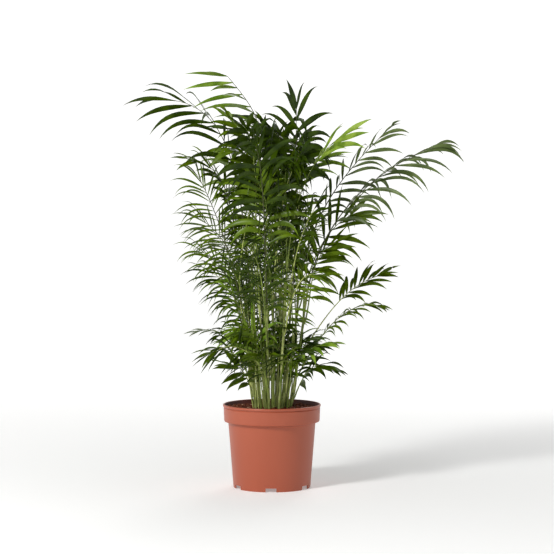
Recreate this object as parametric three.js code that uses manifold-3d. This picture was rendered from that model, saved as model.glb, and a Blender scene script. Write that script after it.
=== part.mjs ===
// A parlour palm in its nursery pot: a clump of thin green stems that stand in a pot of soil, and
// feather-shaped fronds that rise from them and arch outwards.
// Millimetres, +Z up. The origin is on the flat underside of the pot, on its axis.
import * as THREE from "three";
import { mergeVertices } from "three/addons/utils/BufferGeometryUtils.js";
import Module from "manifold-3d";

const wasm = await Module();
wasm.setup();

// ---- driving dimensions -------------------------------------------------------------------------

const CLEAR = 0.3; // between two pieces that meet

const POT = {
  height: 204,
  rimRadius: 120, // the rolled lip at the very top
  bandHeight: 41, // the deep collar under the lip
  bandFoot: 117, // radius of the collar's lower edge
  shoulder: 107, // radius of the body just under the collar
  base: 94.5, // radius of the body at the ground
  wall: 2.3,
  floor: 2.5,
  floorRise: 10, // the floor is held off the ground on feet
  padRadius: 20, // the flat pad in the middle of the underside
  sides: 40,
};
const NOTCH = { count: 6, foot: 31, head: 26, turn: -91.2 }; // gaps between the feet; the first faces -Y

const SOIL_TOP = 190;

const STEM = { count: 16, clumpRadius: 50, footRadius: 3.1, tipRadius: 2.4, sides: 6, rings: 3 };
const STEM_LEAN = [1.5, 9]; // degrees, from the middle of the clump to its edge
const GOLDEN_ANGLE = 137.508; // degrees from each stem to the next
const ABOVE_YOUNGEST = 6; // a stem ends this far over the foot of its highest frond

const RIB = { foot: 2.1, tip: 1.1, petioleSteps: 5, mostBlade: 0.72, links: 24 };

// thickness: of every blade. tipAngle: degrees between the last leaflets and the rib. closing: how late
// along the blade they close towards it. merge, broader: leaflets are this much fewer and wider than
// life. terminal: the end leaflet against the longest.
const LEAFLET = { thickness: 1.6, tipAngle: 14, closing: 2.2, merge: 1.6, broader: 1.5, terminal: 0.75 };
const END = { stub: 4, sag: 0.4, broadest: 0.4, width: 0.9 }; // the end leaflet, in shares of its size
// A leaflet's droop gathers at its tip, and eases along the blade, where the leaflets are younger.
const SAG = { steps: 8, strength: 1.5, power: 2.1, oldest: 1.35, youngest: 0.6 };
const LONG_LEAFLET = 90; // from this length on a leaflet bends twice, at the steps named below
const BENDS = { short: [3], long: [3, 6] };
const WIDTH_AT = { 3: 1, 6: 0.6 }; // share of the full width at each bend
const LONGEST_IN_MIDDLE = { least: 0.6, from: 0.15, run: 0.72 }; // leaflet length along the blade
const UNEVEN = { angle: 20, length: 0.3, lift: 0.4, droop: 0.8, width: 0.3 }; // whole spread of each

// What has no room as it is first laid is turned by these steps, in this order, until it has.
const STALK_TURNS = [0, 4, -4, 8, -8, 12, -12, 16, -16, 20, -20]; // degrees round the stem
const LEAFLET_NUDGES = [0, 1, -1, 2, -2, 3, -3];
const NUDGE = { angle: 6, lift: 0.12 };
const AT_RIB = 0.03; // where a leaflet's test piece starts, from the rib to its first bend
const OFF_RIB = 0.4; // the same, for the test against its own rib
const END_BACK = 0.5; // how far back from its broadest place that of an end leaflet reaches, in shares

// What a usual frond is like. spread: degrees between stalk and stem. early, late: how far each end
// keeps its own direction, as a share of the chord. blade: length of rib that carries leaflets.
// leaf, width: the longest leaflet. gap: from one pair to the next. roll: degrees the blade turns
// about its rib. lift: how far leaflets stand above the blade. open: degrees between the lowest
// leaflets and the rib. wild: how much more its leaflets differ than the least uneven frond's do.
const USUAL = {
  spread: 6,
  early: 0.42,
  late: 0.3,
  blade: 240,
  leaf: 120,
  width: 12,
  gap: 19,
  roll: 0,
  lift: 0,
  droop: 1.1,
  open: 62,
  wild: 1,
};

// The fronds that give the crown its outline: name, stem, height of the foot, heading in degrees
// from +X, reach, rise, pitch of the tip in degrees, and what differs from a usual frond.
const OUTLINE = [
  ["top_arch", 1, 470, 206, 92, 533, 46,
    { spread: 0, early: 0.78, late: 0.36, blade: 190, leaf: 145, width: 10, gap: 38, roll: 20,
      lift: -1.3, droop: 0.4, open: 40 }],
  ["left_high", 4, 480, 184, 172, 462, 12,
    { spread: 0, blade: 200, leaf: 165, width: 12, gap: 36, roll: -38, lift: -0.3, droop: 1.0, open: 50 }],
  ["left_1", 9, 450, 205, 125, 345, 12, { leaf: 90, width: 9, gap: 15, roll: -40, droop: 0.9, open: 52 }],
  ["left_2", 12, 420, 190, 108, 332, 62,
    { spread: 6, early: 0.36, blade: 215, leaf: 105, width: 5, gap: 12, roll: -75, droop: 1.5, open: 74 }],
  ["left_3", 14, 400, 172, 125, 250, 35,
    { blade: 200, leaf: 115, width: 5, gap: 12, roll: -45, droop: 1.3, open: 66 }],
  ["left_4", 12, 370, 186, 102, 205, 28,
    { blade: 190, leaf: 105, width: 5, gap: 12, roll: -50, droop: 1.7, open: 66 }],
  ["left_5", 9, 300, 170, 105, 225, 20,
    { blade: 150, leaf: 98, width: 5, gap: 12, roll: -45, droop: 1.4, open: 64 }],
  ["left_6", 4, 330, 195, 52, 182, 50,
    { blade: 150, leaf: 100, width: 6, gap: 13, roll: -50, droop: 1.4, open: 72 }],
  ["left_7", 12, 300, 205, 52, 172, 48,
    { blade: 180, leaf: 100, width: 6, gap: 13, roll: -50, droop: 1.4, open: 72 }],
  ["left_8", 14, 270, 178, 140, 110, -8, { blade: 130, leaf: 55, width: 5, gap: 14, droop: 0.6 }],
  ["left_9", 12, 250, 205, 90, 90, -12, { blade: 150, leaf: 95, width: 10, gap: 15, roll: -15 }],
  ["left_low", 9, 215, 195, 55, 82, 12,
    { spread: 14, blade: 62, leaf: 88, width: 13, gap: 14, roll: -50, droop: 0.5, open: 75 }],
  ["right_low", 13, 215, 345, 80, 85, -20,
    { spread: 10, blade: 110, leaf: 85, gap: 15, roll: 20, droop: 1 }],
  ["right_1", 8, 270, 335, 85, 80, 8, { blade: 130, leaf: 80, roll: 20 }],
  ["right_2", 13, 270, 3, 195, 175, -4,
    { spread: 20, blade: 160, leaf: 66, width: 7, gap: 13, roll: 5, open: 55 }],
  ["right_3", 8, 290, 8, 215, 225, 18,
    { spread: 27, blade: 112, leaf: 80, width: 10, gap: 13, roll: 30, lift: 0.15, droop: 0.7, open: 50 }],
  ["right_4", 13, 400, 340, 66, 190, 35,
    { blade: 190, leaf: 105, width: 10, gap: 20, roll: 65, droop: 0.6, open: 76 }],
  ["right_5", 8, 430, 350, 130, 235, 30,
    { blade: 230, leaf: 128, width: 12, gap: 22, roll: 60, droop: 0.9, open: 66 }],
  ["right_far", 13, 470, 4, 295, 358, 24,
    { spread: 2, blade: 300, leaf: 138, width: 10, gap: 25, roll: 24, lift: -0.35, droop: 1.6, open: 38 }],
  ["right_high", 8, 480, 12, 212, 385, 44,
    { spread: 0, blade: 280, leaf: 102, width: 9, gap: 25, roll: 45, lift: -0.2, droop: 1.1, open: 42 }],
  ["right_fresh", 10, 500, 345, 122, 345, 38,
    { spread: 0, blade: 85, leaf: 125, width: 15, gap: 26, roll: 30, lift: -0.1, droop: 0.5, open: 44 }],
  ["top_centre", 5, 480, 285, 36, 442, 84,
    { spread: 0, blade: 170, leaf: 104, width: 13, gap: 27, droop: 1.0, open: 60 }],
  ["right_broad", 3, 450, 20, 90, 350, 12,
    { blade: 190, leaf: 125, width: 11, gap: 22, roll: 25, droop: 0.7, open: 60 }],
  ["right_curl", 10, 430, 320, 95, 255, 50,
    { blade: 150, leaf: 85, width: 9, gap: 14, roll: 60, droop: 1.3 }],
  ["front_high", 0, 470, 268, 95, 370, -55,
    { spread: 0, blade: 170, leaf: 165, width: 15, gap: 26, roll: 20, droop: 3.0, open: 32, wild: 1.7 }],
];

// The fronds that fill the crown, tier by tier: each leans the way its stem leans, give or take
// TIER_TURN degrees, and its sizes are spread evenly over the tier's ranges.
const TIERS = [
  {
    name: "low", stems: [2, 11, 7, 6, 15], width: 5.5, gap: 14,
    from: [235, 290], reach: [105, 150], rise: [45, 120], nod: [-25, -5], leaf: [75, 100], droop: [0.7, 1.5],
  },
  {
    name: "mid", stems: [2, 10, 15, 6, 11, 14], width: 5.5, gap: 14,
    from: [320, 430], reach: [90, 155], rise: [150, 290], nod: [-20, 7], leaf: [72, 102], droop: [0.4, 1.4],
  },
  {
    name: "top", stems: [15, 6, 7, 1, 2, 3], width: 12, gap: 22,
    from: [430, 490], reach: [88, 148], rise: [310, 415], nod: [9, 44], leaf: [100, 130], droop: [0.8, 1.9],
  },
];
const TIER_TURN = 30;
const TIER_ROLL = [25, 65]; // to one side and the other by turns
const TIER_BLADE = [150, 210];
const TIER_WILD = 1.7;

const COLOURS = { pot: 0xb05c46, soil: 0x4a3326, stem: 0x7d9a52, leaf: 0x3d6a25, freshLeaf: 0x93ad4c };

// ---- small helpers ------------------------------------------------------------------------------

const UP = new THREE.Vector3(0, 0, 1);
const rad = THREE.MathUtils.degToRad;
const mix = THREE.MathUtils.lerp;
const vec = (x, y, z) => new THREE.Vector3(x, y, z);
const along = (from, direction, distance) => from.clone().addScaledVector(direction, distance);
const compass = (degrees) => vec(Math.cos(rad(degrees)), Math.sin(rad(degrees)), 0);

// An even spread between 0 and 1 that is the same each time: item i, quality k.
function vary(i, k) {
  const x = 0.5 + i * 0.6180339887 + k * 0.7548776662;
  return x - Math.floor(x);
}
const range = ([low, high], share) => mix(low, high, share);
const uneven = (i, k, spread) => spread * (vary(i, k) - 0.5);

// A closed surface that is put together ring by ring. Each ring runs counter-clockwise about the
// direction of growth.
class Skin {
  corners = [];
  faces = [];
  ring(points) {
    return points.map((p) => this.corners.push(p) - 1);
  }
  // The side of each ring named by `open` is left out, for a leaflet to grow from.
  band(lower, upper, open = -1) {
    lower.forEach((a, i) => {
      if (i === open) return;
      const j = (i + 1) % lower.length;
      this.faces.push([a, lower[j], upper[j]], [a, upper[j], upper[i]]);
    });
  }
  closeStart(ring) {
    for (let i = 2; i < ring.length; i++) this.faces.push([ring[0], ring[i], ring[i - 1]]);
  }
  closeEnd(ring) {
    for (let i = 2; i < ring.length; i++) this.faces.push([ring[0], ring[i - 1], ring[i]]);
  }
  point(ring, tip) {
    const [t] = this.ring([tip]);
    ring.forEach((a, i) => this.faces.push([a, ring[(i + 1) % ring.length], t]));
  }
  geometry() {
    return new THREE.BufferGeometry().setFromPoints(this.corners).setIndex(this.faces.flat());
  }
  solid() {
    return solidOf(this.geometry());
  }
}

function solidOf(geometry) {
  const bare = geometry.clone();
  bare.deleteAttribute("normal");
  bare.deleteAttribute("uv");
  const merged = mergeVertices(bare, 1e-4);
  return new wasm.Manifold(
    new wasm.Mesh({
      numProp: 3,
      vertProperties: merged.attributes.position.array,
      triVerts: new Uint32Array(merged.index.array),
    }),
  );
}

function geometryOf(solid) {
  const { vertProperties, triVerts } = solid.getMesh();
  return new THREE.BufferGeometry()
    .setAttribute("position", new THREE.BufferAttribute(vertProperties, 3))
    .setIndex(new THREE.BufferAttribute(triVerts, 1));
}

// A profile of [radius, height] points, turned about the upright axis.
function turned(profile) {
  const points = profile.map(([r, z]) => new THREE.Vector2(r, z));
  return new THREE.LatheGeometry(points, POT.sides).rotateX(Math.PI / 2);
}

// ---- pot and soil -------------------------------------------------------------------------------

const bandZ = POT.height - POT.bandHeight;
const floorTop = POT.floorRise + POT.floor;
const shoulderRun = 4; // the slope between body and collar
const lip = 5; // height of the rolled lip
const lipProud = 1.6; // how far the lip stands out past the collar
const round = 1; // the softened corners of collar and lip
const underCollar = 3; // the collar's inner face starts this far above its outer foot
const bodyRadius = (z) => mix(POT.base, POT.shoulder, z / (bandZ - shoulderRun));

function makePot() {
  const inner = POT.rimRadius - lipProud - POT.wall;
  const outside = [
    [0, 0],
    [POT.padRadius, 0],
    [POT.padRadius, POT.floorRise],
    [POT.base - POT.wall, POT.floorRise],
    [POT.base - POT.wall, 0],
    [POT.base, 0],
    [POT.shoulder, bandZ - shoulderRun],
    [POT.bandFoot - round, bandZ],
    [POT.bandFoot, bandZ + 2 * round],
    [POT.rimRadius - lipProud, POT.height - lip],
    [POT.rimRadius, POT.height - lip + round],
    [POT.rimRadius, POT.height - round],
    [POT.rimRadius - round, POT.height],
  ];
  const inside = [
    [inner + round / 2, POT.height],
    [inner, POT.height - round],
    [POT.bandFoot - POT.wall, bandZ + underCollar],
    [POT.shoulder - POT.wall, bandZ - POT.wall],
    [bodyRadius(floorTop) - POT.wall, floorTop],
    [0, floorTop],
  ];
  let pot = solidOf(turned([...outside, ...inside]));
  const reach = 20; // the notch cutter runs well past the wall on both sides
  const shape = new THREE.Shape([
    new THREE.Vector2(-NOTCH.foot / 2, -1),
    new THREE.Vector2(NOTCH.foot / 2, -1),
    new THREE.Vector2(NOTCH.head / 2, POT.floorRise - 0.5),
    new THREE.Vector2(-NOTCH.head / 2, POT.floorRise - 0.5),
  ]);
  for (let i = 0; i < NOTCH.count; i++) {
    const cutter = new THREE.ExtrudeGeometry(shape, { depth: reach, bevelEnabled: false, steps: 1 });
    cutter.rotateX(Math.PI / 2); // the shape now stands upright, and its depth runs along -Y
    cutter.translate(0, -(POT.base - reach / 2 - POT.wall), 0);
    cutter.rotateZ(rad(NOTCH.turn + 90 + (360 / NOTCH.count) * i));
    pot = pot.subtract(solidOf(cutter));
  }
  return geometryOf(pot);
}

// The soil fills the pot, a little clear of its wall and floor.
function makeSoil() {
  const inset = POT.wall + 2 * CLEAR;
  return turned([
    [0, floorTop + CLEAR],
    [bodyRadius(floorTop) - inset, floorTop + CLEAR],
    [POT.shoulder - inset, bandZ - POT.wall],
    [POT.bandFoot - inset, bandZ + underCollar + 2 * CLEAR],
    [POT.bandFoot - inset, SOIL_TOP],
    [0, SOIL_TOP],
  ]);
}

// ---- where the stems stand and what each carries ---------------------------------------------------

const stemHeading = (i) => (i * GOLDEN_ANGLE) % 360;
const stemShare = (i) => Math.sqrt((i + 0.5) / STEM.count); // how far out in the clump, 0 to 1

function planFronds() {
  const shown = OUTLINE.map(([name, stem, from, heading, reach, rise, nod, other]) => ({
    ...USUAL, name, stem, from, heading, reach, rise, nod, ...other,
  }));
  const filling = TIERS.flatMap((tier, level) =>
    tier.stems.map((stem, n) => {
      const i = level * 7 + n;
      return {
        ...USUAL,
        name: `${tier.name}_${n + 1}`,
        stem,
        width: tier.width,
        gap: tier.gap,
        wild: TIER_WILD,
        from: range(tier.from, vary(i, 12)),
        heading: stemHeading(stem) + mix(-TIER_TURN, TIER_TURN, vary(i, 11)),
        reach: range(tier.reach, vary(i, 13)),
        rise: range(tier.rise, vary(i, 14)),
        nod: range(tier.nod, vary(i, 15)),
        roll: (-1) ** n * range(TIER_ROLL, vary(i, 16)),
        leaf: range(tier.leaf, vary(i, 17)),
        blade: range(TIER_BLADE, vary(i, 18)),
        droop: range(tier.droop, vary(i, 19)),
      };
    }),
  );
  return [...shown, ...filling].map((frond, number) => ({ ...frond, number }));
}

const fronds = planFronds();
const youngest = (stem) => Math.max(...fronds.filter((f) => f.stem === stem).map((f) => f.from));

// The middle line of a stem: a straight line that leans away from the clump's middle.
function stemLine(i) {
  const out = compass(stemHeading(i));
  const foot = along(vec(0, 0, SOIL_TOP), out, STEM.clumpRadius * stemShare(i));
  const lean = rad(range(STEM_LEAN, stemShare(i)));
  const direction = along(UP, out, Math.tan(lean)); // one unit high
  const top = youngest(i) + ABOVE_YOUNGEST;
  return { foot, direction, top, at: (z) => along(foot, direction, z - SOIL_TOP) };
}
function stemRadius({ top }, z) {
  return mix(STEM.footRadius, STEM.tipRadius, (z - SOIL_TOP) / (top - SOIL_TOP));
}

function makeStem(i) {
  const line = stemLine(i);
  const skin = new Skin();
  const rings = Array.from({ length: STEM.rings }, (_, n) => {
    const z = mix(SOIL_TOP + CLEAR, line.top, n / (STEM.rings - 1));
    const corner = (_, s) => along(line.at(z), compass((360 / STEM.sides) * s), stemRadius(line, z));
    return skin.ring(Array.from({ length: STEM.sides }, corner));
  });
  skin.closeStart(rings[0]);
  rings.slice(1).forEach((ring, n) => skin.band(rings[n], ring));
  skin.closeEnd(rings.at(-1));
  return skin;
}

// ---- fronds -------------------------------------------------------------------------------------

// How far the many-sided wall of a stem reaches towards a heading.
function wallReach(heading, radius) {
  const step = 360 / STEM.sides;
  const past = THREE.MathUtils.euclideanModulo(heading, step);
  return radius * Math.cos(rad(Math.min(past, step - past)));
}

// The rib's curve. The highest frond of a stem stands on the stem's tip, and the others beside it.
const standsOnTip = (frond) => frond.from === youngest(frond.stem);

function ribCurve(frond) {
  const line = stemLine(frond.stem);
  const out = compass(frond.heading);
  const onTip = standsOnTip(frond);
  const z = onTip ? line.top + CLEAR : frond.from;
  const aside = onTip ? 0 : stemRadius(line, z) + RIB.foot + CLEAR;
  const foot = along(line.at(z), out, aside);
  const tip = along(along(line.at(frond.from), out, frond.reach), UP, frond.rise);
  const chord = Math.hypot(frond.reach, frond.rise);
  const launch = along(line.direction, out, Math.tan(rad(frond.spread))).normalize();
  const landing = out.clone().multiplyScalar(Math.cos(rad(frond.nod)));
  landing.addScaledVector(UP, Math.sin(rad(frond.nod)));
  return new THREE.CubicBezierCurve3(
    foot,
    along(foot, launch, chord * frond.early),
    along(tip, landing, -chord * frond.late),
    tip,
  );
}

// The rib's place and frame at a distance from its foot: `ahead` along the rib, `side` across the
// blade and `over` square to it. `rolled` is the share of its roll that the frond has there.
function ribFrame(frond, curve, distance, rolled = 1) {
  const u = Math.min(1, distance / curve.getLength());
  const ahead = curve.getTangentAt(u);
  const across = compass(frond.heading + 90);
  const side = along(across, ahead, -across.dot(ahead)).normalize();
  side.applyAxisAngle(ahead, rad(frond.roll * rolled));
  const over = ahead.clone().cross(side);
  return { place: curve.getPointAt(u), ahead, side, over };
}

// A three-sided section of the rib: left edge, right edge, keel.
function ribSection({ place, side, over }, halfWidth, halfDepth = halfWidth) {
  return [along(place, side, halfWidth), along(place, side, -halfWidth), along(place, over, -halfDepth)];
}

// The leaflets of a frond, one for each step of the rib, left and right by turns.
function planLeaflets(frond, curve) {
  const length = curve.getLength();
  const blade = Math.min(frond.blade, length * RIB.mostBlade);
  const count = 2 * Math.max(3, Math.round(blade / (frond.gap * LEAFLET.merge)));
  return Array.from({ length: count }, (_, n) => {
    const share = (n + 0.5) / count;
    const hand = n % 2 ? -1 : 1;
    const from = length - blade * (1 - n / count);
    const upTo = length - blade * (1 - (n + 1) / count);
    const frame = ribFrame(frond, curve, (from + upTo) / 2);
    return { frond, frame, hand, share, from, upTo, number: frond.number * 31 + n };
  });
}

// How far the leaflets of a frond stand above its blade. Where they hang below it, they do so the
// more the steeper the rib.
const liftAt = ({ lift }, { ahead }) => lift * (lift < 0 ? ahead.z : 1);

// The middle line of a leaflet: it leaves the rib at an angle and bends down under its own weight.
function leafletLine(leaflet, nudge) {
  const { frond, frame, hand, share, number } = leaflet;
  const { wild } = frond;
  const opening = mix(frond.open, LEAFLET.tipAngle, share ** LEAFLET.closing);
  const angle = rad(opening + uneven(number, 2, UNEVEN.angle * wild) + NUDGE.angle * nudge);
  const lift = liftAt(frond, frame) + uneven(number, 4, UNEVEN.lift * wild);
  const { least, from, run } = LONGEST_IN_MIDDLE;
  const outline = mix(least, 1, Math.sin(Math.PI * (from + run * share)));
  const length = frond.leaf * outline * (1 + uneven(number, 3, UNEVEN.length * wild));
  const ageing = mix(SAG.oldest, SAG.youngest, share);
  const weight = SAG.strength * frond.droop * ageing * (1 + uneven(number, 5, UNEVEN.droop));
  const start = frame.ahead.clone().multiplyScalar(Math.cos(angle));
  start.addScaledVector(frame.side, hand * Math.sin(angle));
  start.addScaledVector(frame.over, lift + NUDGE.lift * nudge).normalize();
  const points = [frame.place.clone()];
  for (let n = 1; n <= SAG.steps; n++) {
    const heading = along(start, UP, -weight * (n / SAG.steps) ** SAG.power).normalize();
    points.push(along(points.at(-1), heading, length / SAG.steps));
  }
  const bends = length > LONG_LEAFLET ? BENDS.long : BENDS.short;
  return { points, bends, root: points[0], tip: points.at(-1) };
}

// The four corners of a leaflet at one of its bends, in the order of the side of the rib that it
// grows from, with `extra` all round.
function leafletSection(leaflet, { points }, bend, extra = 0) {
  const { frond, frame, hand, number } = leaflet;
  const heading = points[bend + 1].clone().sub(points[bend - 1]).normalize();
  const forward = along(frame.ahead, heading, -frame.ahead.dot(heading)).normalize();
  const top = heading.clone().cross(forward).normalize();
  if (top.dot(frame.over) < 0) top.negate();
  const full = LEAFLET.broader * frond.width * (1 + uneven(number, 6, UNEVEN.width * frond.wild));
  const width = full * WIDTH_AT[bend] + 2 * extra;
  const thick = LEAFLET.thickness + 2 * extra;
  const corner = (t, f) => along(along(points[bend], top, (t * thick) / 2), forward, (f * width) / 2);
  return [corner(-hand, -1), corner(hand, -1), corner(hand, 1), corner(-hand, 1)];
}

// Carries a leaflet on from the ring at its root, through its bends, to its tip.
function growLeaflet(skin, root, leaflet, line, extra = 0) {
  let last = root;
  for (const bend of line.bends) {
    const ring = skin.ring(leafletSection(leaflet, line, bend, extra));
    skin.band(last, ring);
    last = ring;
  }
  const onward = line.tip.clone().sub(line.points.at(-2)).normalize();
  skin.point(last, along(line.tip, onward, extra));
}

// The leaflet that ends the rib, straight on from it. Where it has no room the rib ends in a point.
function endLeaflet(frond, curve, long) {
  const end = ribFrame(frond, curve, curve.getLength());
  const length = long ? LEAFLET.terminal * frond.leaf : END.stub * RIB.tip;
  const onward = along(end.ahead, end.over, long ? liftAt(frond, end) : 0).normalize();
  const tip = along(along(end.place, onward, length), UP, -END.sag * length * frond.droop);
  end.place = end.place.clone().lerp(tip, END.broadest);
  const halfWidth = long ? (END.width * frond.width) / 2 : END.width * RIB.tip;
  return { section: ribSection(end, halfWidth, LEAFLET.thickness), tip };
}

// The foot of a stalk lies level with its flat side to the stem, and beside a stem it is drawn in
// until it rests on the wall.
function seat(frame, frond) {
  frame.side = compass(frond.heading + 90);
  frame.over = compass(frond.heading + 180);
  if (standsOnTip(frond)) return;
  const radius = stemRadius(stemLine(frond.stem), frond.from);
  const drawnIn = radius + RIB.foot - wallReach(frond.heading, radius);
  frame.place.addScaledVector(frame.over, drawnIn);
}

// The rib and the leaflets that have found room, as one closed skin. The stalk twists evenly from its
// foot to the blade.
function makeFrond({ frond, curve, leaflets, longEnd }) {
  const skin = new Skin();
  const petiole = leaflets[0].from;
  const steps = RIB.petioleSteps;
  const distances = Array.from({ length: steps + 1 }, (_, n) => (petiole * n) / steps);
  leaflets.forEach((leaflet) => distances.push(leaflet.upTo));
  const rings = distances.map((distance, n) => {
    const frame = ribFrame(frond, curve, distance, Math.min(1, n / steps));
    if (n === 0) seat(frame, frond);
    return skin.ring(ribSection(frame, mix(RIB.foot, RIB.tip, distance / curve.getLength())));
  });
  skin.closeStart(rings[0]);
  rings.slice(1).forEach((ring, n) => {
    const leaflet = leaflets[n - steps];
    const open = leaflet?.line ? (leaflet.hand > 0 ? 2 : 1) : -1;
    skin.band(rings[n], ring, open);
    if (open < 0) return;
    const next = (open + 1) % 3;
    const root = [rings[n][open], rings[n][next], ring[next], ring[open]];
    growLeaflet(skin, root, leaflet, leaflet.line);
  });
  const end = endLeaflet(frond, curve, longEnd);
  const bend = skin.ring(end.section);
  skin.band(rings.at(-1), bend);
  skin.point(bend, end.tip);
  return skin;
}

// ---- room for each stalk and leaflet ------------------------------------------------------------

// A curve as a chain of straight links, to measure how near it comes to another.
function chainOf(curve, links) {
  const points = curve.getPoints(links);
  return points.slice(1).map((point, n) => new THREE.Line3(points[n], point));
}
const nearest = (a, b) => Math.sqrt(Math.min(...a.flatMap((p) => b.map((q) => p.distanceSqToLine3(q)))));

const STALKS_APART = 2 * RIB.foot + CLEAR;
const STEM_APART = STEM.footRadius + RIB.foot + CLEAR;

// A stalk that would touch another stalk or a stem that isn't its own is turned about its stem.
function findRoom(frond, stems, stalks) {
  for (const turn of STALK_TURNS) {
    const turned = { ...frond, heading: frond.heading + turn };
    const curve = ribCurve(turned);
    const chain = chainOf(curve, RIB.links);
    const clearOfStems = stems.every((stem, i) => i === frond.stem || nearest(chain, stem) > STEM_APART);
    if (clearOfStems && stalks.every((other) => nearest(chain, other.chain) > STALKS_APART)) {
      return { frond: turned, curve, chain, leaflets: planLeaflets(turned, curve), longEnd: false };
    }
  }
  throw new Error(`no room for ${frond.name}`);
}
const taken = []; // what stands already: its box, its solid and the frond whose rib it is
function take(skin, ribOf = null) {
  taken.push({ box: boxOf(skin), solid: skin.solid(), ribOf });
}
const boxOf = (skin) => new THREE.Box3().setFromPoints(skin.corners);

function isFree(skin, except) {
  const box = boxOf(skin);
  const solid = skin.solid();
  const touches = (other) => box.intersectsBox(other.box) && !solid.intersect(other.solid).isEmpty();
  return !taken.some((other) => !except(other) && touches(other));
}

// A leaflet on its own, from `outset` of the way between rib and first bend, with `extra` all round.
function looseLeaflet(leaflet, line, outset, extra) {
  const { frame, hand, from, upTo } = leaflet;
  const corner = (t, f) => {
    const raised = along(line.root, frame.over, t * (LEAFLET.thickness / 2 + extra));
    return along(raised, frame.ahead, f * ((upTo - from) / 2 + extra));
  };
  const atRib = [corner(-hand, -1), corner(hand, -1), corner(hand, 1), corner(-hand, 1)];
  const atBend = leafletSection(leaflet, line, line.bends[0], extra);
  const skin = new Skin();
  const ring = skin.ring(atRib.map((point, n) => point.lerp(atBend[n], outset)));
  skin.closeStart(ring);
  growLeaflet(skin, ring, leaflet, line, extra);
  return skin;
}

// A leaflet that has no room is turned a little, either way, and left out if it finds none. Near its
// root it may come close to its own rib only.
function settle(leaflet) {
  const { frond } = leaflet;
  for (const nudge of LEAFLET_NUDGES) {
    const line = leafletLine(leaflet, nudge);
    const whole = looseLeaflet(leaflet, line, AT_RIB, 2 * CLEAR);
    const outer = looseLeaflet(leaflet, line, OFF_RIB, 2 * CLEAR);
    const isOwnRib = (other) => other.ribOf === frond.name;
    if (!isFree(whole, isOwnRib) || !isFree(outer, (other) => !isOwnRib(other))) continue;
    leaflet.line = line;
    take(looseLeaflet(leaflet, line, AT_RIB, 0));
    return;
  }
}

function settleEnd(stalk) {
  const { section, tip } = endLeaflet(stalk.frond, stalk.curve, true);
  const skin = new Skin();
  const middle = section[0].clone().add(section[1]).multiplyScalar(0.5);
  const root = section.map((corner) => along(corner, tip.clone().sub(middle), -END_BACK));
  const rings = [skin.ring(root), skin.ring(section)];
  skin.closeStart(rings[0]);
  skin.band(rings[0], rings[1]);
  skin.point(rings[1], tip);
  stalk.longEnd = isFree(skin, (other) => other.ribOf === stalk.frond.name);
  if (stalk.longEnd) take(skin);
}

// ---- the whole plant ----------------------------------------------------------------------------

const palm = new THREE.Group();

function addPart(name, geometry, colour, roughness) {
  const material = new THREE.MeshStandardMaterial({ color: colour, roughness, metalness: 0 });
  const mesh = new THREE.Mesh(geometry, material);
  mesh.name = name;
  palm.add(mesh);
}

addPart("pot", makePot(), COLOURS.pot, 0.42);
addPart("soil", makeSoil(), COLOURS.soil, 0.95);

const stems = Array.from({ length: STEM.count }, (_, i) => {
  const skin = makeStem(i);
  take(skin);
  addPart(`stem_${String(i + 1).padStart(2, "0")}`, skin.geometry(), COLOURS.stem, 0.5);
  const { foot, at, top } = stemLine(i);
  return [new THREE.Line3(foot, at(top))];
});

const stalks = [];
fronds.forEach((frond) => {
  const stalk = findRoom(frond, stems, stalks);
  stalks.push(stalk);
  take(makeFrond(stalk), frond.name);
});
stalks.forEach(settleEnd);
stalks.forEach(({ leaflets }) => leaflets.forEach(settle));
stalks.forEach((stalk) => {
  const colour = stalk.frond.name === "right_fresh" ? COLOURS.freshLeaf : COLOURS.leaf;
  addPart(`frond_${stalk.frond.name}`, makeFrond(stalk).geometry(), colour, 0.45);
});

export default palm;
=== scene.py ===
# %% [markdown]
# # A parlour palm in its nursery pot
# The plant is a clump of thin green canes. Each cane carries feather-shaped fronds: a stalk that
# clasps the cane, a rib that arches outwards, and a row of narrow leaflets on either side of it.
# The fixed frame holds the pot, the soil, every cane and every frond as a plain solid. This lesson
# dresses them: it keeps the same stalks and ribs and carries them on to leaflets of real fineness.

# %% Load the frame
import math
import bpy
import numpy as np
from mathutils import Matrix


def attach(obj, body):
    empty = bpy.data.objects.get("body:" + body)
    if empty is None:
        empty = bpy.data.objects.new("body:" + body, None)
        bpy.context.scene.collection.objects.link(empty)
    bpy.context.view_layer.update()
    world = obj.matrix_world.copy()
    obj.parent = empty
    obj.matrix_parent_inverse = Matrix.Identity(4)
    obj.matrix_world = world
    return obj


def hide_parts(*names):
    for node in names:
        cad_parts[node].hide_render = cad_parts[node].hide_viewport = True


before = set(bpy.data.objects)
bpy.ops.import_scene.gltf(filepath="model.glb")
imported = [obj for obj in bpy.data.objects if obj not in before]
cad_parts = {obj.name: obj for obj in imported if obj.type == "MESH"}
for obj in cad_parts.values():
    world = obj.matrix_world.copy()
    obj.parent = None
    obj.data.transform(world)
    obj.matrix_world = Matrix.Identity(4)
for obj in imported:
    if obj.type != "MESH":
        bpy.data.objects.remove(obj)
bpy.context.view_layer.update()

MM = 0.001  # sizes below are in millimetres, and Blender's are in metres

# %% [markdown]
# ## Camera
# A view from a little above, far enough away that the pot's rim and its foot are seen almost square
# on. A long lens from 4.5 m gives that calm, flat perspective. The camera looks at the middle of
# the plant, and its tilt follows from the two heights.

# %% Camera
EYE = (0.0125, -4.5, 0.700)
AIM_HEIGHT = 0.515
SENSOR, LENS = 36, 119.7  # millimetres
tilt = math.atan2(EYE[2] - AIM_HEIGHT, -EYE[1])
bpy.ops.object.camera_add(location=EYE, rotation=(math.pi / 2 - tilt, 0, 0))
camera = bpy.context.object
camera.data.sensor_width = SENSOR
camera.data.lens = LENS
bpy.context.scene.camera = camera
print("camera looks down", round(math.degrees(tilt), 2), "degrees")

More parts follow.
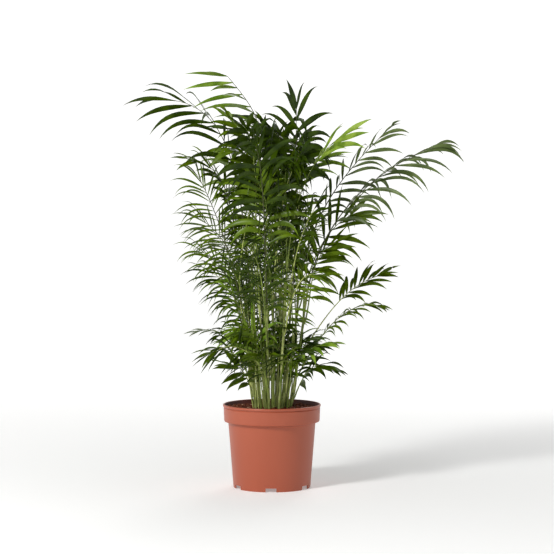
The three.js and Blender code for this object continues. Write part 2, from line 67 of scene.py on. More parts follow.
# %% [markdown]
# ## Colours and nodes
# Colours are written the way a paint chart gives them, as sRGB hex, and one function turns them to
# the linear values that a shader needs. A second small function adds a node, sets its sockets and
# links it, so that a material reads as a short list.

# %% Colour and node helpers
def linear(hex_colour):
    channels = [int(hex_colour[i:i + 2], 16) / 255 for i in (1, 3, 5)]
    return [c / 12.92 if c <= 0.04045 else ((c + 0.055) / 1.055) ** 2.4 for c in channels] + [1.0]


def add_node(tree, kind, sockets=None, links=None, **settings):
    node = tree.nodes.new(kind)
    for name, value in settings.items():
        setattr(node, name, value)
    for name, value in (sockets or {}).items():
        node.inputs[name].default_value = value
    for name, (source, output) in (links or {}).items():
        tree.links.new(source.outputs[output], node.inputs[name])
    return node


def new_material(name, **surface):
    """A material with its Principled shader, whose own sockets hold what is the same all over."""
    material = bpy.data.materials.new(name)
    material.use_nodes = True
    shader = material.node_tree.nodes["Principled BSDF"]
    for socket, value in surface.items():
        shader.inputs[socket.replace("_", " ")].default_value = value
    return material, material.node_tree, shader


print("terracotta in linear light:", [round(c, 3) for c in linear("#B05C46")])

# %% [markdown]
# ## Round shapes, ring by ring
# A pot, a cane and a studio floor are all round about one line, like work from a lathe. They could
# be spun from an outline. Here a disc is extruded and resized step by step instead, as a potter
# pulls up a wall, because each step is then one line: the next radius and the next height. What
# Blender's operators act on is whatever is selected, so everything is deselected first.

# %% Modelling helper: grow a round shape
def select_nothing():
    for thing in bpy.context.selected_objects:
        thing.select_set(False)


def grown_ring_by_ring(name, sides, profile):
    """A disc at the first [radius, height], extruded and resized through the rest, closed at both ends."""
    select_nothing()
    radius, height = profile[0]
    bpy.ops.mesh.primitive_circle_add(vertices=sides, radius=radius, fill_type="NGON",
                                      location=(0, 0, height))
    bpy.ops.object.mode_set(mode="EDIT")
    bpy.ops.mesh.select_all(action="SELECT")
    for next_radius, next_height in profile[1:]:
        step = {"value": (0, 0, next_height - height)}
        bpy.ops.mesh.extrude_region_move(TRANSFORM_OT_translate=step)
        share = next_radius / radius
        bpy.ops.transform.resize(value=(share, share, 1), center_override=(0, 0, next_height))
        radius, height = next_radius, next_height
    bpy.ops.mesh.select_all(action="SELECT")
    bpy.ops.mesh.normals_make_consistent(inside=False)
    bpy.ops.object.mode_set(mode="OBJECT")
    piece = bpy.context.object
    piece.name = piece.data.name = name
    bpy.ops.object.transform_apply(location=True, rotation=True, scale=True)
    return piece


print("round shapes:", grown_ring_by_ring.__doc__)

# %% [markdown]
# ## Stage
# A studio sweep of white seamless paper: a floor that rises in a wide curve all round, so that no
# horizon shows from any side. A plane with a curved back would serve one view alone. The paper
# glows faintly, the more the further it is from the plant, so that it fades to an even white.

# %% Studio sweep
FLOOR_REACH, SWEEP = 7.0, 4.0  # metres
GLOW_STARTS, GLOW_ENDS = 0.3, 3.5  # metres from the foot of the pot
GLOW = (0.28, 0.75)
arc = [math.radians(a) for a in range(0, 91, 10)]
sweep_profile = [(FLOOR_REACH + SWEEP * math.sin(a), SWEEP * (1 - math.cos(a))) for a in arc]
stage = grown_ring_by_ring("stage", 96, sweep_profile)
bpy.ops.object.mode_set(mode="EDIT")
bpy.ops.mesh.select_all(action="DESELECT")
bpy.ops.object.mode_set(mode="OBJECT")
for face in stage.data.polygons:  # the last disc would be a lid
    face.select = len(face.vertices) > 4 and face.center.z > 1
bpy.ops.object.mode_set(mode="EDIT")
bpy.ops.mesh.delete(type="FACE")
bpy.ops.object.mode_set(mode="OBJECT")
bpy.ops.object.shade_smooth_by_angle(angle=math.radians(40))
paper, tree, shader = new_material("seamless_paper", Roughness=0.9)
shader.inputs["Base Color"].default_value = linear("#E6E6E4")
shader.inputs["Emission Color"].default_value = linear("#FFFFFF")
where = add_node(tree, "ShaderNodeTexCoord")
distance = add_node(tree, "ShaderNodeVectorMath", links={0: (where, "Object")}, operation="LENGTH")
glow = add_node(tree, "ShaderNodeMapRange",
                {"From Min": GLOW_STARTS, "From Max": GLOW_ENDS, "To Min": GLOW[0], "To Max": GLOW[1]},
                {"Value": (distance, "Value")})
tree.links.new(glow.outputs["Result"], shader.inputs["Emission Strength"])
stage.data.materials.append(paper)
print("stage of", len(stage.data.polygons), "faces")

# %% [markdown]
# ## Light
# The key light is a round soft box high on the front left, small enough that leaflets throw clear
# shadows on each other. A wider and weaker one stands high behind on the right and lifts the edges
# of the leaflets. A dim white sky and the paper fill the shadows.

# %% Lights and sky
SKY = 0.08  # strength
LIGHTS = {  # place and aim in metres, width in metres, power in watts
    "key": ((-2.2, -2.6, 2.6), (0, 0, 0.5), 0.8, 125),
    "back": ((0.8, 2.8, 2.8), (0, 0, 0.6), 1.6, 30),
}
for name, (place, aim, width, power) in LIGHTS.items():
    bpy.ops.object.light_add(type="AREA", location=place)
    light = bpy.context.object
    light.name = name + "_light"
    light.data.shape, light.data.size, light.data.energy = "DISK", width, power
    back = np.subtract(place, aim)
    light.rotation_euler = (math.acos(back[2] / np.linalg.norm(back)), 0, math.atan2(back[0], -back[1]))
sky = bpy.data.worlds.new("sky")
sky.use_nodes = True
sky.node_tree.nodes["Background"].inputs["Color"].default_value = (1, 1, 1, 1)
sky.node_tree.nodes["Background"].inputs["Strength"].default_value = SKY
bpy.context.scene.world = sky
bpy.context.scene.view_settings.view_transform = "Standard"
print(len(LIGHTS), "lights and a sky")

# %% [markdown]
# ## Pot
# An injection-moulded nursery pot. From the ground up it has a ring of feet with gaps between them,
# a plain tapering wall, a step out to a deep collar, and a proud rounded lip with a fine groove
# below it. A potter's profile turned round the axis would give it, and so would a lathe. Here a
# disc is extruded ring by ring along that profile, because each step of the real mould can then be
# read as one line.

# %% Pot profile
POT_HEIGHT = 204
RIM, COLLAR_FOOT, SHOULDER, BASE = 120, 117, 107, 94.5  # radii, from the top down
WALL, FLOOR_RISE, FLOOR, PAD = 2.3, 10, 2.5, 20
COLLAR = 163  # height of the step between wall and collar
PROUD = 1.6  # how far the lip stands out


def wall_radius(height):
    return BASE + (SHOULDER - BASE) * height / (COLLAR - 4)


outside = [
    (PAD, 0), (PAD + 0.4, 0.4), (PAD + 0.6, FLOOR_RISE), (BASE - WALL, FLOOR_RISE),
    (BASE - WALL + 0.2, 0.4), (BASE - WALL + 0.6, 0), (BASE - 0.6, 0), (BASE, 0.6),
    *[(wall_radius(h), h) for h in (8, 30, 60, 90, 120, 145, 156)],
    (SHOULDER + 0.2, 159.6), (SHOULDER + 1.6, 160.6), (COLLAR_FOOT - 2.4, 161.6),
    (COLLAR_FOOT - 0.8, 162.2), (COLLAR_FOOT, 163.6), (COLLAR_FOOT + 0.3, 166), (COLLAR_FOOT + 0.9, 180),
    (RIM - PROUD - 0.1, 194.6), (RIM - PROUD - 1.5, 196.4), (RIM - PROUD - 1.6, 197.4),
    (RIM - 0.8, 198.2), (RIM, 199.4), (RIM, 202.2), (RIM - 0.5, 203.5), (RIM - 1.6, POT_HEIGHT),
]
inner = RIM - PROUD - WALL
inside = [
    (inner + 0.7, POT_HEIGHT), (inner - 0.2, 203.2), (inner - 0.4, 201), (COLLAR_FOOT - WALL, 167),
    (COLLAR_FOOT - WALL - 1, 165), (SHOULDER - WALL, 161.5), (SHOULDER - WALL - 0.4, 158),
    (wall_radius(60) - WALL, 60), (wall_radius(14) - WALL, FLOOR_RISE + FLOOR + 1.5),
    (wall_radius(14) - WALL - 3, FLOOR_RISE + FLOOR), (PAD, FLOOR_RISE + FLOOR),
]
pot = grown_ring_by_ring("pot_body", 128, [(r * MM, h * MM) for r, h in outside + inside])
print("pot blank:", len(pot.data.polygons), "faces")

# %% [markdown]
# The gaps between the feet let water out. Each is a cut with slanted sides, and the first faces the
# front. One tapered block is modelled, repeated to make six round the pot, and taken away from it by
# one Boolean cut, which keeps the wall behind the gaps clean.

# %% Cut the gaps between the feet
NOTCHES, NOTCH_FOOT, NOTCH_HEAD, NOTCH_TURN = 6, 31, 26, -91.2  # count, widths, degrees
BLOCK_DEPTH, BLOCK_LOW, BLOCK_HIGH = 20, -1, 9.5  # it starts under the ground, to cut right through
select_nothing()
bpy.ops.mesh.primitive_cube_add(size=1, location=(BASE * MM, 0, (BLOCK_LOW + BLOCK_HIGH) / 2 * MM))
cutter = bpy.context.object
cutter.name = "gap_cutter"
cutter.scale = (BLOCK_DEPTH * MM, NOTCH_FOOT * MM, (BLOCK_HIGH - BLOCK_LOW) * MM)
bpy.ops.object.transform_apply(location=True, rotation=True, scale=True)
for corner in cutter.data.vertices:
    corner.select = corner.co.z > 0
bpy.ops.object.mode_set(mode="EDIT")
bpy.context.tool_settings.mesh_select_mode = (True, False, False)
bpy.ops.transform.resize(value=(1, NOTCH_HEAD / NOTCH_FOOT, 1),
                         center_override=(BASE * MM, 0, BLOCK_HIGH * MM))
bpy.ops.mesh.select_all(action="SELECT")
for _ in range(NOTCHES - 1):
    bpy.ops.mesh.duplicate()
    bpy.ops.transform.rotate(value=-2 * math.pi / NOTCHES, orient_axis="Z", center_override=(0, 0, 0))
bpy.ops.object.mode_set(mode="OBJECT")
cutter.rotation_euler.z = math.radians(NOTCH_TURN)
bpy.ops.object.transform_apply(location=True, rotation=True, scale=True)
select_nothing()
pot.select_set(True)
bpy.context.view_layer.objects.active = pot
cut = pot.modifiers.new("gaps", "BOOLEAN")
cut.operation, cut.solver, cut.object = "DIFFERENCE", "EXACT", cutter
bpy.ops.object.modifier_apply(modifier="gaps")
bpy.data.objects.remove(cutter)
bpy.ops.object.shade_smooth_by_angle(angle=math.radians(32))
print("pot with gaps:", len(pot.data.polygons), "faces")

# %% [markdown]
# Polypropylene, coloured terracotta in the melt and pressed into a polished mould. It has a soft
# satin gloss, faint cloudy streaks from the flow of the melt, and a skin so fine that it only
# breaks up the highlight. The inside of the collar, which the stems and leaves shade, is painted
# a dark red brown as painted shade, and the shader finds that place by its radius and its height.

# %% Satin polypropylene
SHADE_RADII = (116.6, 115.8)  # the painted shade sets in between these, going inwards
SHADE_HEIGHTS = (164, 166)  # and between these, going up
moulded, tree, shader = new_material("moulded_polypropylene", Roughness=0.4, IOR=1.49)
where = add_node(tree, "ShaderNodeTexCoord")
flow_place = add_node(tree, "ShaderNodeMapping", {"Scale": (9, 9, 2.5)}, {"Vector": (where, "Object")})
flow = add_node(tree, "ShaderNodeTexNoise", {"Scale": 1.6, "Detail": 3}, {"Vector": (flow_place, "Vector")})
tone = add_node(tree, "ShaderNodeMix", {"A": linear("#9D4A2F"), "B": linear("#A75338")},
                {"Factor": (flow, "Fac")}, data_type="RGBA")
apart = add_node(tree, "ShaderNodeSeparateXYZ", links={"Vector": (where, "Object")})
flat_place = add_node(tree, "ShaderNodeCombineXYZ", links={"X": (apart, "X"), "Y": (apart, "Y")})
radius = add_node(tree, "ShaderNodeVectorMath", links={0: (flat_place, "Vector")}, operation="LENGTH")
within = add_node(tree, "ShaderNodeMapRange",
                  {"From Min": SHADE_RADII[0] * MM, "From Max": SHADE_RADII[1] * MM},
                  {"Value": (radius, "Value")})
over_foot = add_node(tree, "ShaderNodeMapRange",
                     {"From Min": SHADE_HEIGHTS[0] * MM, "From Max": SHADE_HEIGHTS[1] * MM},
                     {"Value": (apart, "Z")})
painted_shade = add_node(tree, "ShaderNodeMath", links={0: (within, "Result"), 1: (over_foot, "Result")},
                operation="MULTIPLY")
# painted shade: the inside of the collar above its foot is darkened towards a deep red brown
shaded_tone = add_node(tree, "ShaderNodeMix", {"B": linear("#5A2418")},
                   {"Factor": (painted_shade, "Value"), "A": (tone, "Result")}, data_type="RGBA")
tree.links.new(shaded_tone.outputs["Result"], shader.inputs["Base Color"])
gloss = add_node(tree, "ShaderNodeMapRange", {"To Min": 0.34, "To Max": 0.46}, {"Value": (flow, "Fac")})
tree.links.new(gloss.outputs["Result"], shader.inputs["Roughness"])
# The skin of the mould is some tenths of a millimetre fine, and is drawn at 1.5 mm so that it shows.
skin = add_node(tree, "ShaderNodeTexNoise", {"Scale": 1 / (1.5 * MM), "Detail": 2},
                {"Vector": (where, "Object")})
skin_bump = add_node(tree, "ShaderNodeBump", {"Strength": 0.05, "Distance": 0.2 * MM},
                     {"Height": (skin, "Fac")})
tree.links.new(skin_bump.outputs["Normal"], shader.inputs["Normal"])
pot.data.materials.append(moulded)
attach(pot, "root")
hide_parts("pot")
print("pot finished in", moulded.name)

# %% [markdown]
# ## Soil
# Moist peat compost, pressed in by hand to a finger's width below the rim. The body of soil is grown
# ring by ring inside the wall. Its top is a set of narrowing rings, roughened by two cloud textures:
# a broad one for the lie of the surface and a fine one for its grain. Sculpting would do as well,
# but this way the surface comes out the same each time.

# %% Soil body
SOIL_TOP = 190
SOIL_FOOT = FLOOR_RISE + FLOOR + 0.5
CLEAR = 0.3  # gap between two solids that would otherwise touch
TOP_RINGS = 26
edge = COLLAR_FOOT - WALL - 2 * CLEAR
soil_profile = [(PAD, SOIL_FOOT), (wall_radius(14) - WALL - 4, SOIL_FOOT), (SHOULDER - WALL - 1, 158),
                (COLLAR_FOOT - WALL - 2, 167), (edge, SOIL_TOP - 3)]
soil_profile += [(edge * (1 - n / TOP_RINGS), SOIL_TOP) for n in range(TOP_RINGS)]
soil = grown_ring_by_ring("soil_bed", 96, [(r * MM, h * MM) for r, h in soil_profile])
rough_top = soil.vertex_groups.new(name="top")
on_top = [v.index for v in soil.data.vertices if v.co.z > (SOIL_TOP - 0.5) * MM]
rough_top.add(on_top, 1.0, "REPLACE")
for name, grain, height, rest in (("lie", 42, 9.0, 0.15), ("grain", 6, 3.4, 0.5)):
    clouds = bpy.data.textures.new("soil_" + name, "CLOUDS")
    clouds.noise_scale = grain * MM
    relief = soil.modifiers.new(name, "DISPLACE")
    relief.texture, relief.strength, relief.vertex_group = clouds, height * MM, "top"
    relief.direction, relief.texture_coords, relief.mid_level = "Z", "LOCAL", rest
    bpy.ops.object.modifier_apply(modifier=name)
print("soil:", len(soil.data.polygons), "faces, highest point",
      round(max(v.co.z for v in soil.data.vertices) / MM, 1), "mm")

# %% [markdown]
# Peat is matt and crumbly, so it hardly reflects: the low specular level keeps the pale studio out of
# it. Clods about 9 mm wide mix a near black brown with a warmer one, and a bump of 2 mm grit breaks
# up the light on them.

# %% Peat compost
peat, tree, shader = new_material("moist_peat_compost", Roughness=0.92, IOR=1.4,
                                  Specular_IOR_Level=0.08)
where = add_node(tree, "ShaderNodeTexCoord")
clods = add_node(tree, "ShaderNodeTexNoise", {"Scale": 1 / (9 * MM), "Detail": 5, "Roughness": 0.65},
                 {"Vector": (where, "Object")})
tone = add_node(tree, "ShaderNodeMix", {"A": linear("#220F08"), "B": linear("#7C452B")},
                {"Factor": (clods, "Fac")}, data_type="RGBA")
tree.links.new(tone.outputs["Result"], shader.inputs["Base Color"])
grit = add_node(tree, "ShaderNodeTexNoise", {"Scale": 1 / (2 * MM), "Detail": 3},
                {"Vector": (where, "Object")})
grit_bump = add_node(tree, "ShaderNodeBump", {"Strength": 0.7, "Distance": 1 * MM},
                     {"Height": (grit, "Fac")})
tree.links.new(grit_bump.outputs["Normal"], shader.inputs["Normal"])
soil.data.materials.append(peat)
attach(soil, "root")
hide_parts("soil")
print("soil finished in", peat.name)

# %% [markdown]
# ## Many small things at once
# Crumbs, canes, stalks and leaflets all repeat one shape. Each shape is modelled once, as a
# pattern. A copy is then only a set of moved corners, so all copies are worked out together as
# arrays and joined into one mesh. That takes seconds where a thousand separate objects would take
# minutes.

# %% Copies as one mesh
SHARP = 50  # degrees between two faces, past which their edge shows


def corners_of(pattern):
    return np.array([v.co[:] for v in pattern.data.vertices])


def joined_copies(name, pattern, places):
    """One mesh of all the copies. places holds the corners of each copy, in millimetres."""
    copies, corners = places.shape[:2]
    one = [np.array(face.vertices) for face in pattern.data.polygons]
    faces = [(face + corners * c).tolist() for c in range(copies) for face in one]
    mesh = bpy.data.meshes.new(name)
    mesh.from_pydata((places.reshape(-1, 3) * MM).tolist(), [], faces)
    mesh.shade_smooth()
    mesh.set_sharp_from_angle(angle=math.radians(SHARP))
    piece = bpy.data.objects.new(name, mesh)
    bpy.context.scene.collection.objects.link(piece)
    return piece


print("copies:", joined_copies.__doc__)

# %% [markdown]
# Growth is uneven, and yet it has its rule. The golden section deals out numbers between 0 and 1
# that use the whole range evenly, are never alike in neighbours, and come out the same each time. A
# random generator would leave clusters. Headings step round by the golden angle, which is the same
# section of a circle. Where a size must not go in step with a heading, the two numbers that vary
# takes change places.

# %% Variety and directions
GOLDEN_ANGLE = 137.508  # degrees
NEXT_THING, NEXT_QUALITY = 0.6180339887, 0.7548776662  # steps that never come round
UP = np.array([0.0, 0.0, 1.0])


def vary(i, k):
    """A number between 0 and 1 for thing i and its quality k."""
    return (0.5 + np.asarray(i) * NEXT_THING + k * NEXT_QUALITY) % 1.0


def uneven(i, k, spread):
    return spread * (vary(i, k) - 0.5)


def mix(low, high, share):
    return low + (high - low) * share


def compass(degrees):
    a = np.radians(degrees)
    return np.stack([np.cos(a), np.sin(a), 0 * a], -1)


def unit(v):
    return v / np.linalg.norm(v, axis=-1, keepdims=True)


print("one quality of four things in a row:", np.round(vary(np.arange(4), 0), 2))

# %% [markdown]
# ## Crumbs
# Bits of bark and coir lie loose on the compost and break up its dark surface. They are broken
# pieces, longer than they are thick. A crumb could be cut from a box, but an icosphere that is
# squeezed and roughened has a broken look from the start, in twenty faces. One serves for all.

# %% One lump
select_nothing()
bpy.ops.mesh.primitive_ico_sphere_add(subdivisions=1, radius=1, location=(0, 0, 0))
lump = bpy.context.object
bpy.ops.object.mode_set(mode="EDIT")
bpy.ops.mesh.select_all(action="SELECT")
bpy.ops.transform.resize(value=(1.0, 0.7, 0.55))
bpy.ops.transform.vertex_random(offset=0.16, seed=4)
bpy.ops.object.mode_set(mode="OBJECT")
print("lump:", len(lump.data.polygons), "faces")

# %% [markdown]
# Crumbs thrown at random would leave clots and bare places. So each lies a golden angle on from the
# last and a little further out, as the seeds of a sunflower do, and is turned and tipped its own
# way. Small ones are many and large ones few. Each lies where the rough soil is below it, and has
# sunk in by about a quarter.

# %% Strew crumbs over the soil
CRUMB_MARGIN, CRUMB_PLAY = 8, 6  # clear of the wall, and to and fro
CRUMB_TURN, CRUMB_TIP = 77.7, 1.2  # degrees from one to the next, and the range of its slope
CRUMB_SITS = 0.25  # height of its middle over the soil, as a share of its half length


def crumbs(name, turn, count, smallest, largest):
    number = np.arange(count)
    radius = (edge - CRUMB_MARGIN) * np.sqrt((number + 0.5) / count) + uneven(21, number, CRUMB_PLAY)
    spot = compass(number * GOLDEN_ANGLE + turn) * radius[:, None] * MM
    height = [soil.closest_point_on_mesh((x, y, SOIL_TOP * MM))[1].z / MM for x, y, _ in spot]
    size = mix(smallest, largest, vary(22, number) ** 2)
    ahead = compass(number * CRUMB_TURN)
    tipped = unit(ahead + uneven(23, number, CRUMB_TIP)[:, None] * UP)
    side = unit(np.cross(UP, tipped))
    over = np.cross(tipped, side)
    body = corners_of(lump)
    turned = sum(body[None, :, a, None] * axis[:, None, :] for a, axis in enumerate((tipped, side, over)))
    centre = spot / MM
    centre[:, 2] = np.array(height) + CRUMB_SITS * size
    return joined_copies(name, lump, centre[:, None, :] + turned * size[:, None, None])


bark = crumbs("bark_crumbs", turn=0, count=900, smallest=1.4, largest=7.0)
coir = crumbs("coir_crumbs", turn=70, count=300, smallest=1.2, largest=4.5)
bpy.data.objects.remove(lump)
print("crumbs:", len(bark.data.polygons) + len(coir.data.polygons), "faces")

# %% [markdown]
# Broken bark is a dull red brown, and coir, the fibre of coconut husk, is as pale as straw. Both are
# dry and rough and hardly shine. A noise 7 mm wide, as wide as a large crumb, gives each crumb its
# own shade, where one flat colour would make them look like beads.

# %% Bark and coir
CRUMB_GRAIN = 7


def crumb_material(name, dark, pale):
    material, tree, shader = new_material(name, Roughness=0.85, IOR=1.45, Specular_IOR_Level=0.15)
    where = add_node(tree, "ShaderNodeTexCoord")
    bits = add_node(tree, "ShaderNodeTexNoise", {"Scale": 1 / (CRUMB_GRAIN * MM), "Detail": 3},
                    {"Vector": (where, "Object")})
    tone = add_node(tree, "ShaderNodeMix", {"A": linear(dark), "B": linear(pale)},
                    {"Factor": (bits, "Fac")}, data_type="RGBA")
    tree.links.new(tone.outputs["Result"], shader.inputs["Base Color"])
    return material


for piece, material in ((bark, crumb_material("broken_bark", "#241009", "#7E4229")),
                        (coir, crumb_material("coir_fibre", "#8E6248", "#D6B496"))):
    piece.data.materials.append(material)
    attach(piece, "root")
    print(piece.name, "finished in", material.name)

# %% [markdown]
# ## Where the canes stand
# Sixteen canes stand in a clump. The golden angle sets each one's heading from the middle, its
# distance grows with the square root of its number, and it leans out the more the further it
# stands. These are the same named sizes as in the solids, so each cane runs where its solid does.

# %% The line of a cane
STEMS, CLUMP_RADIUS = 16, 50
STEM_FOOT, STEM_TIP = 3.1, 2.4  # radii
LEAN = (1.5, 9)  # degrees, from the middle of the clump to its edge


def stem_heading(i):
    return (i * GOLDEN_ANGLE) % 360


class Stem:
    """The middle line of a cane: straight, leaning away from the middle of the clump."""

    def __init__(self, number, share, top):
        out = compass(stem_heading(number))
        self.number, self.top = number, top
        self.foot = out * CLUMP_RADIUS * share + UP * SOIL_TOP
        self.direction = UP + out * math.tan(math.radians(mix(*LEAN, share)))

    def at(self, z):
        return self.foot + self.direction * (np.asarray(z)[..., None] - SOIL_TOP)

    def radius(self, z):
        return mix(STEM_FOOT, STEM_TIP, (np.asarray(z) - SOIL_TOP) / (self.top - SOIL_TOP))


print("the first canes head for", [round(stem_heading(i)) for i in range(4)], "degrees")

# %% [markdown]
# ## Fronds that draw the outline
# The fronds that reach furthest give this palm its outline. A rule would make them too alike, so
# each has a row of its own: the cane, the height of its foot, its heading, reach, rise and the
# pitch of its tip, as in the solids. Then comes what differs from a usual frond.

# %% Fronds of the outline
USUAL = {
    "spread": 6,  # degrees between the foot of the rib and its cane
    "early": 0.42, "late": 0.3,  # how long the rib keeps its first and its last direction
    "blade": 240, "leaf": 120,  # lengths of the part with leaflets, and of the longest leaflet
    "width": 12, "gap": 19,  # of a leaflet, and between two pairs
    "roll": 0,  # degrees that the blade is turned about its rib
    "lift": 0.0, "droop": 1.1, "open": 62,  # leaflets' rise, fall, and degrees from the rib
    "wild": 1,  # how uneven they are
}
ROW = ("name", "stem", "from", "heading", "reach", "rise", "nod")
OUTLINE = [
    ("top_arch", 1, 470, 206, 92, 533, 46,
     dict(spread=0, early=0.78, blade=190, leaf=145, lift=-1.3, droop=0.4, open=40, gap=38, roll=20,
          width=10, late=0.36)),
    ("left_high", 4, 480, 184, 172, 462, 12,
     dict(spread=0, blade=200, leaf=165, width=12, roll=-38, droop=1.0, gap=36, open=50, lift=-0.3)),
    ("left_1", 9, 450, 205, 125, 345, 12,
     dict(leaf=90, roll=-40, droop=0.9, gap=15, width=9, open=52)),
    ("left_2", 12, 420, 190, 108, 332, 62,
     dict(spread=6, blade=215, leaf=105, roll=-75, droop=1.5, gap=12, early=0.36, width=5, open=74)),
    ("left_3", 14, 400, 172, 125, 250, 35,
     dict(blade=200, leaf=115, roll=-45, droop=1.3, gap=12, width=5, open=66)),
    ("left_4", 12, 370, 186, 102, 205, 28,
     dict(blade=190, leaf=105, roll=-50, droop=1.7, gap=12, width=5, open=66)),
    ("left_5", 9, 300, 170, 105, 225, 20,
     dict(blade=150, leaf=98, width=5, roll=-45, gap=12, open=64, droop=1.4)),
    ("left_6", 4, 330, 195, 52, 182, 50,
     dict(blade=150, leaf=100, roll=-50, gap=13, width=6, open=72, droop=1.4)),
    ("left_7", 12, 300, 205, 52, 172, 48,
     dict(blade=180, leaf=100, roll=-50, gap=13, width=6, open=72, droop=1.4)),
    ("left_8", 14, 270, 178, 140, 110, -8, dict(blade=130, leaf=55, width=5, droop=0.6, gap=14)),
    ("left_9", 12, 250, 205, 90, 90, -12, dict(blade=150, leaf=95, roll=-15, gap=15, width=10)),
    ("left_low", 9, 215, 195, 55, 82, 12,
     dict(spread=14, blade=62, leaf=88, roll=-50, droop=0.5, gap=14, width=13, open=75)),
    ("right_low", 13, 215, 345, 80, 85, -20,
     dict(spread=10, blade=110, leaf=85, roll=20, droop=1, gap=15)),
    ("right_1", 8, 270, 335, 85, 80, 8, dict(blade=130, leaf=80, roll=20)),
    ("right_2", 13, 270, 3, 195, 175, -4,
     dict(spread=20, blade=160, leaf=66, width=7, roll=5, gap=13, open=55)),
    ("right_3", 8, 290, 8, 215, 225, 18,
     dict(spread=27, blade=112, leaf=80, width=10, roll=30, droop=0.7, gap=13, open=50, lift=0.15)),
    ("right_4", 13, 400, 340, 66, 190, 35,
     dict(blade=190, leaf=105, roll=65, open=76, droop=0.6, width=10, gap=20)),
    ("right_5", 8, 430, 350, 130, 235, 30,
     dict(blade=230, leaf=128, roll=60, droop=0.9, open=66, width=12, gap=22)),
    ("right_far", 13, 470, 4, 295, 358, 24,
     dict(spread=2, blade=300, leaf=138, roll=24, droop=1.6, open=38, gap=25, lift=-0.35, width=10)),
    ("right_high", 8, 480, 12, 212, 385, 44,
     dict(spread=0, blade=280, leaf=102, roll=45, droop=1.1, open=42, gap=25, lift=-0.2, width=9)),
    ("right_fresh", 10, 500, 345, 122, 345, 38,
     dict(spread=0, blade=85, leaf=125, width=15, roll=30, droop=0.5, open=44, gap=26, lift=-0.1)),
    ("top_centre", 5, 480, 285, 36, 442, 84,
     dict(spread=0, blade=170, leaf=104, width=13, droop=1.0, open=60, gap=27)),
    ("right_broad", 3, 450, 20, 90, 350, 12,
     dict(blade=190, leaf=125, width=11, roll=25, droop=0.7, gap=22, open=60)),
    ("right_curl", 10, 430, 320, 95, 255, 50,
     dict(blade=150, leaf=85, roll=60, droop=1.3, gap=14, width=9)),
    ("front_high", 0, 470, 268, 95, 370, -55,
     dict(spread=0, blade=170, leaf=165, roll=20, droop=3.0, width=15, gap=26, open=32, wild=1.7)),
]
fronds = [{**USUAL, **dict(zip(ROW, row)), **row[7]} for row in OUTLINE]
print(len(fronds), "fronds draw the outline")

# %% [markdown]
# ## Fronds that fill the crown
# Behind and between these, three tiers of fronds go round the plant: low ones that reach out and
# nod, a middle tier, and tall ones. Nobody would miss a single one of them, so a rule deals them
# out. In a tier each springs from a cane of its own and heads roughly the way that the cane leans,
# and its sizes come from the tier's ranges, by the same numbers as in the solids.

# %% Fronds of the crown
TIER_DRAWS = {"from": 12, "reach": 13, "rise": 14, "nod": 15, "leaf": 17, "droop": 19}  # quality of each
TIERS = [  # name, canes, a range for each quality in that order, leaflet width and gap
    ("low", [2, 11, 7, 6, 15],
     (235, 290), (105, 150), (45, 120), (-25, -5), (75, 100), (0.7, 1.5), 5.5, 14),
    ("mid", [2, 10, 15, 6, 11, 14],
     (320, 430), (90, 155), (150, 290), (-20, 7), (72, 102), (0.4, 1.4), 5.5, 14),
    ("top", [15, 6, 7, 1, 2, 3],
     (430, 490), (88, 148), (310, 415), (9, 44), (100, 130), (0.8, 1.9), 12, 22),
]
TIER_STEP = 7  # numbers kept for a tier
TIER_TURN, TIER_ROLL, TIER_BLADE = (-30, 30), (25, 65), (150, 210)
WILD = 1.7  # leaflets dealt by rule are this much more uneven


def drawn(draws, ranges, i):
    """Sizes of frond i: each within its range, by the quality that it is drawn by."""
    return {key: mix(*bounds, vary(i, k)) for (key, k), bounds in zip(draws.items(), ranges)}


for level, (tier, canes, *ranges, width, gap) in enumerate(TIERS):
    for n, stem in enumerate(canes):
        i = level * TIER_STEP + n
        fronds.append({**USUAL, "name": f"{tier}_{n + 1}", "stem": stem, **drawn(TIER_DRAWS, ranges, i),
                       "heading": stem_heading(stem) + mix(*TIER_TURN, vary(i, 11)),
                       "roll": (-1) ** n * mix(*TIER_ROLL, vary(i, 16)),
                       "blade": mix(*TIER_BLADE, vary(i, 18)),
                       "width": width, "gap": gap, "wild": WILD})
print(len(fronds), "fronds with the three tiers")

# %% [markdown]
# ## Small fronds inside the clump
# A grown clump is full of lesser fronds, which the solids leave out because they are so fine. Young
# suckers come straight up out of the soil, shoots stand low on the canes, broad plumes and arching
# fronds close the top of the crown, and a skirt of short ones spreads low round the canes. The same
# kind of table deals these out, and none springs from above its cane's highest frond.

# %% Small fronds
INNER_DRAWS = {"from": 31, "reach": 32, "rise": 33, "nod": 34, "leaf": 35, "blade": 36, "droop": 37,
               "open": 30}
INNER = [  # kind, how many, a range for each quality in that order, leaflet width and gap
    ("sucker", 28, (190, 191), (20, 80), (300, 590), (-10, 80), (60, 105), (90, 160), (0.1, 0.9),
     (26, 58), 4.0, 17),
    ("shoot", 10, (215, 340), (30, 90), (210, 400), (-30, 60), (55, 100), (80, 160), (0.1, 1.0),
     (28, 62), 4.0, 15),
    ("plume", 4, (440, 470), (60, 105), (400, 455), (10, 60), (80, 105), (110, 150), (0.4, 1.1),
     (42, 62), 13, 22),
    ("crown", 8, (410, 470), (20, 70), (300, 440), (-40, 50), (95, 130), (140, 200), (1.0, 2.2),
     (50, 70), 12, 20),
    ("skirt", 14, (195, 235), (20, 85), (110, 200), (-45, 15), (60, 95), (80, 120), (0.8, 1.7),
     (45, 70), 7.5, 13),
]
FACING = {"plume": (150, 215), "crown": (75, 290)}  # headings that these are dealt between
INNER_TURN, INNER_ROLL = (-100, 100), (-70, 70)  # the others' headings from their canes, and all rolls
INNER_SPREAD, INNER_EARLY = 3, 0.6
INNER_STEP, CANE_STEP = 100, 5  # numbers kept for a kind, and canes from one frond to the next
BELOW_HIGHEST = 15
highest = {stem: max(f["from"] for f in fronds if f["stem"] == stem) for stem in range(STEMS)}
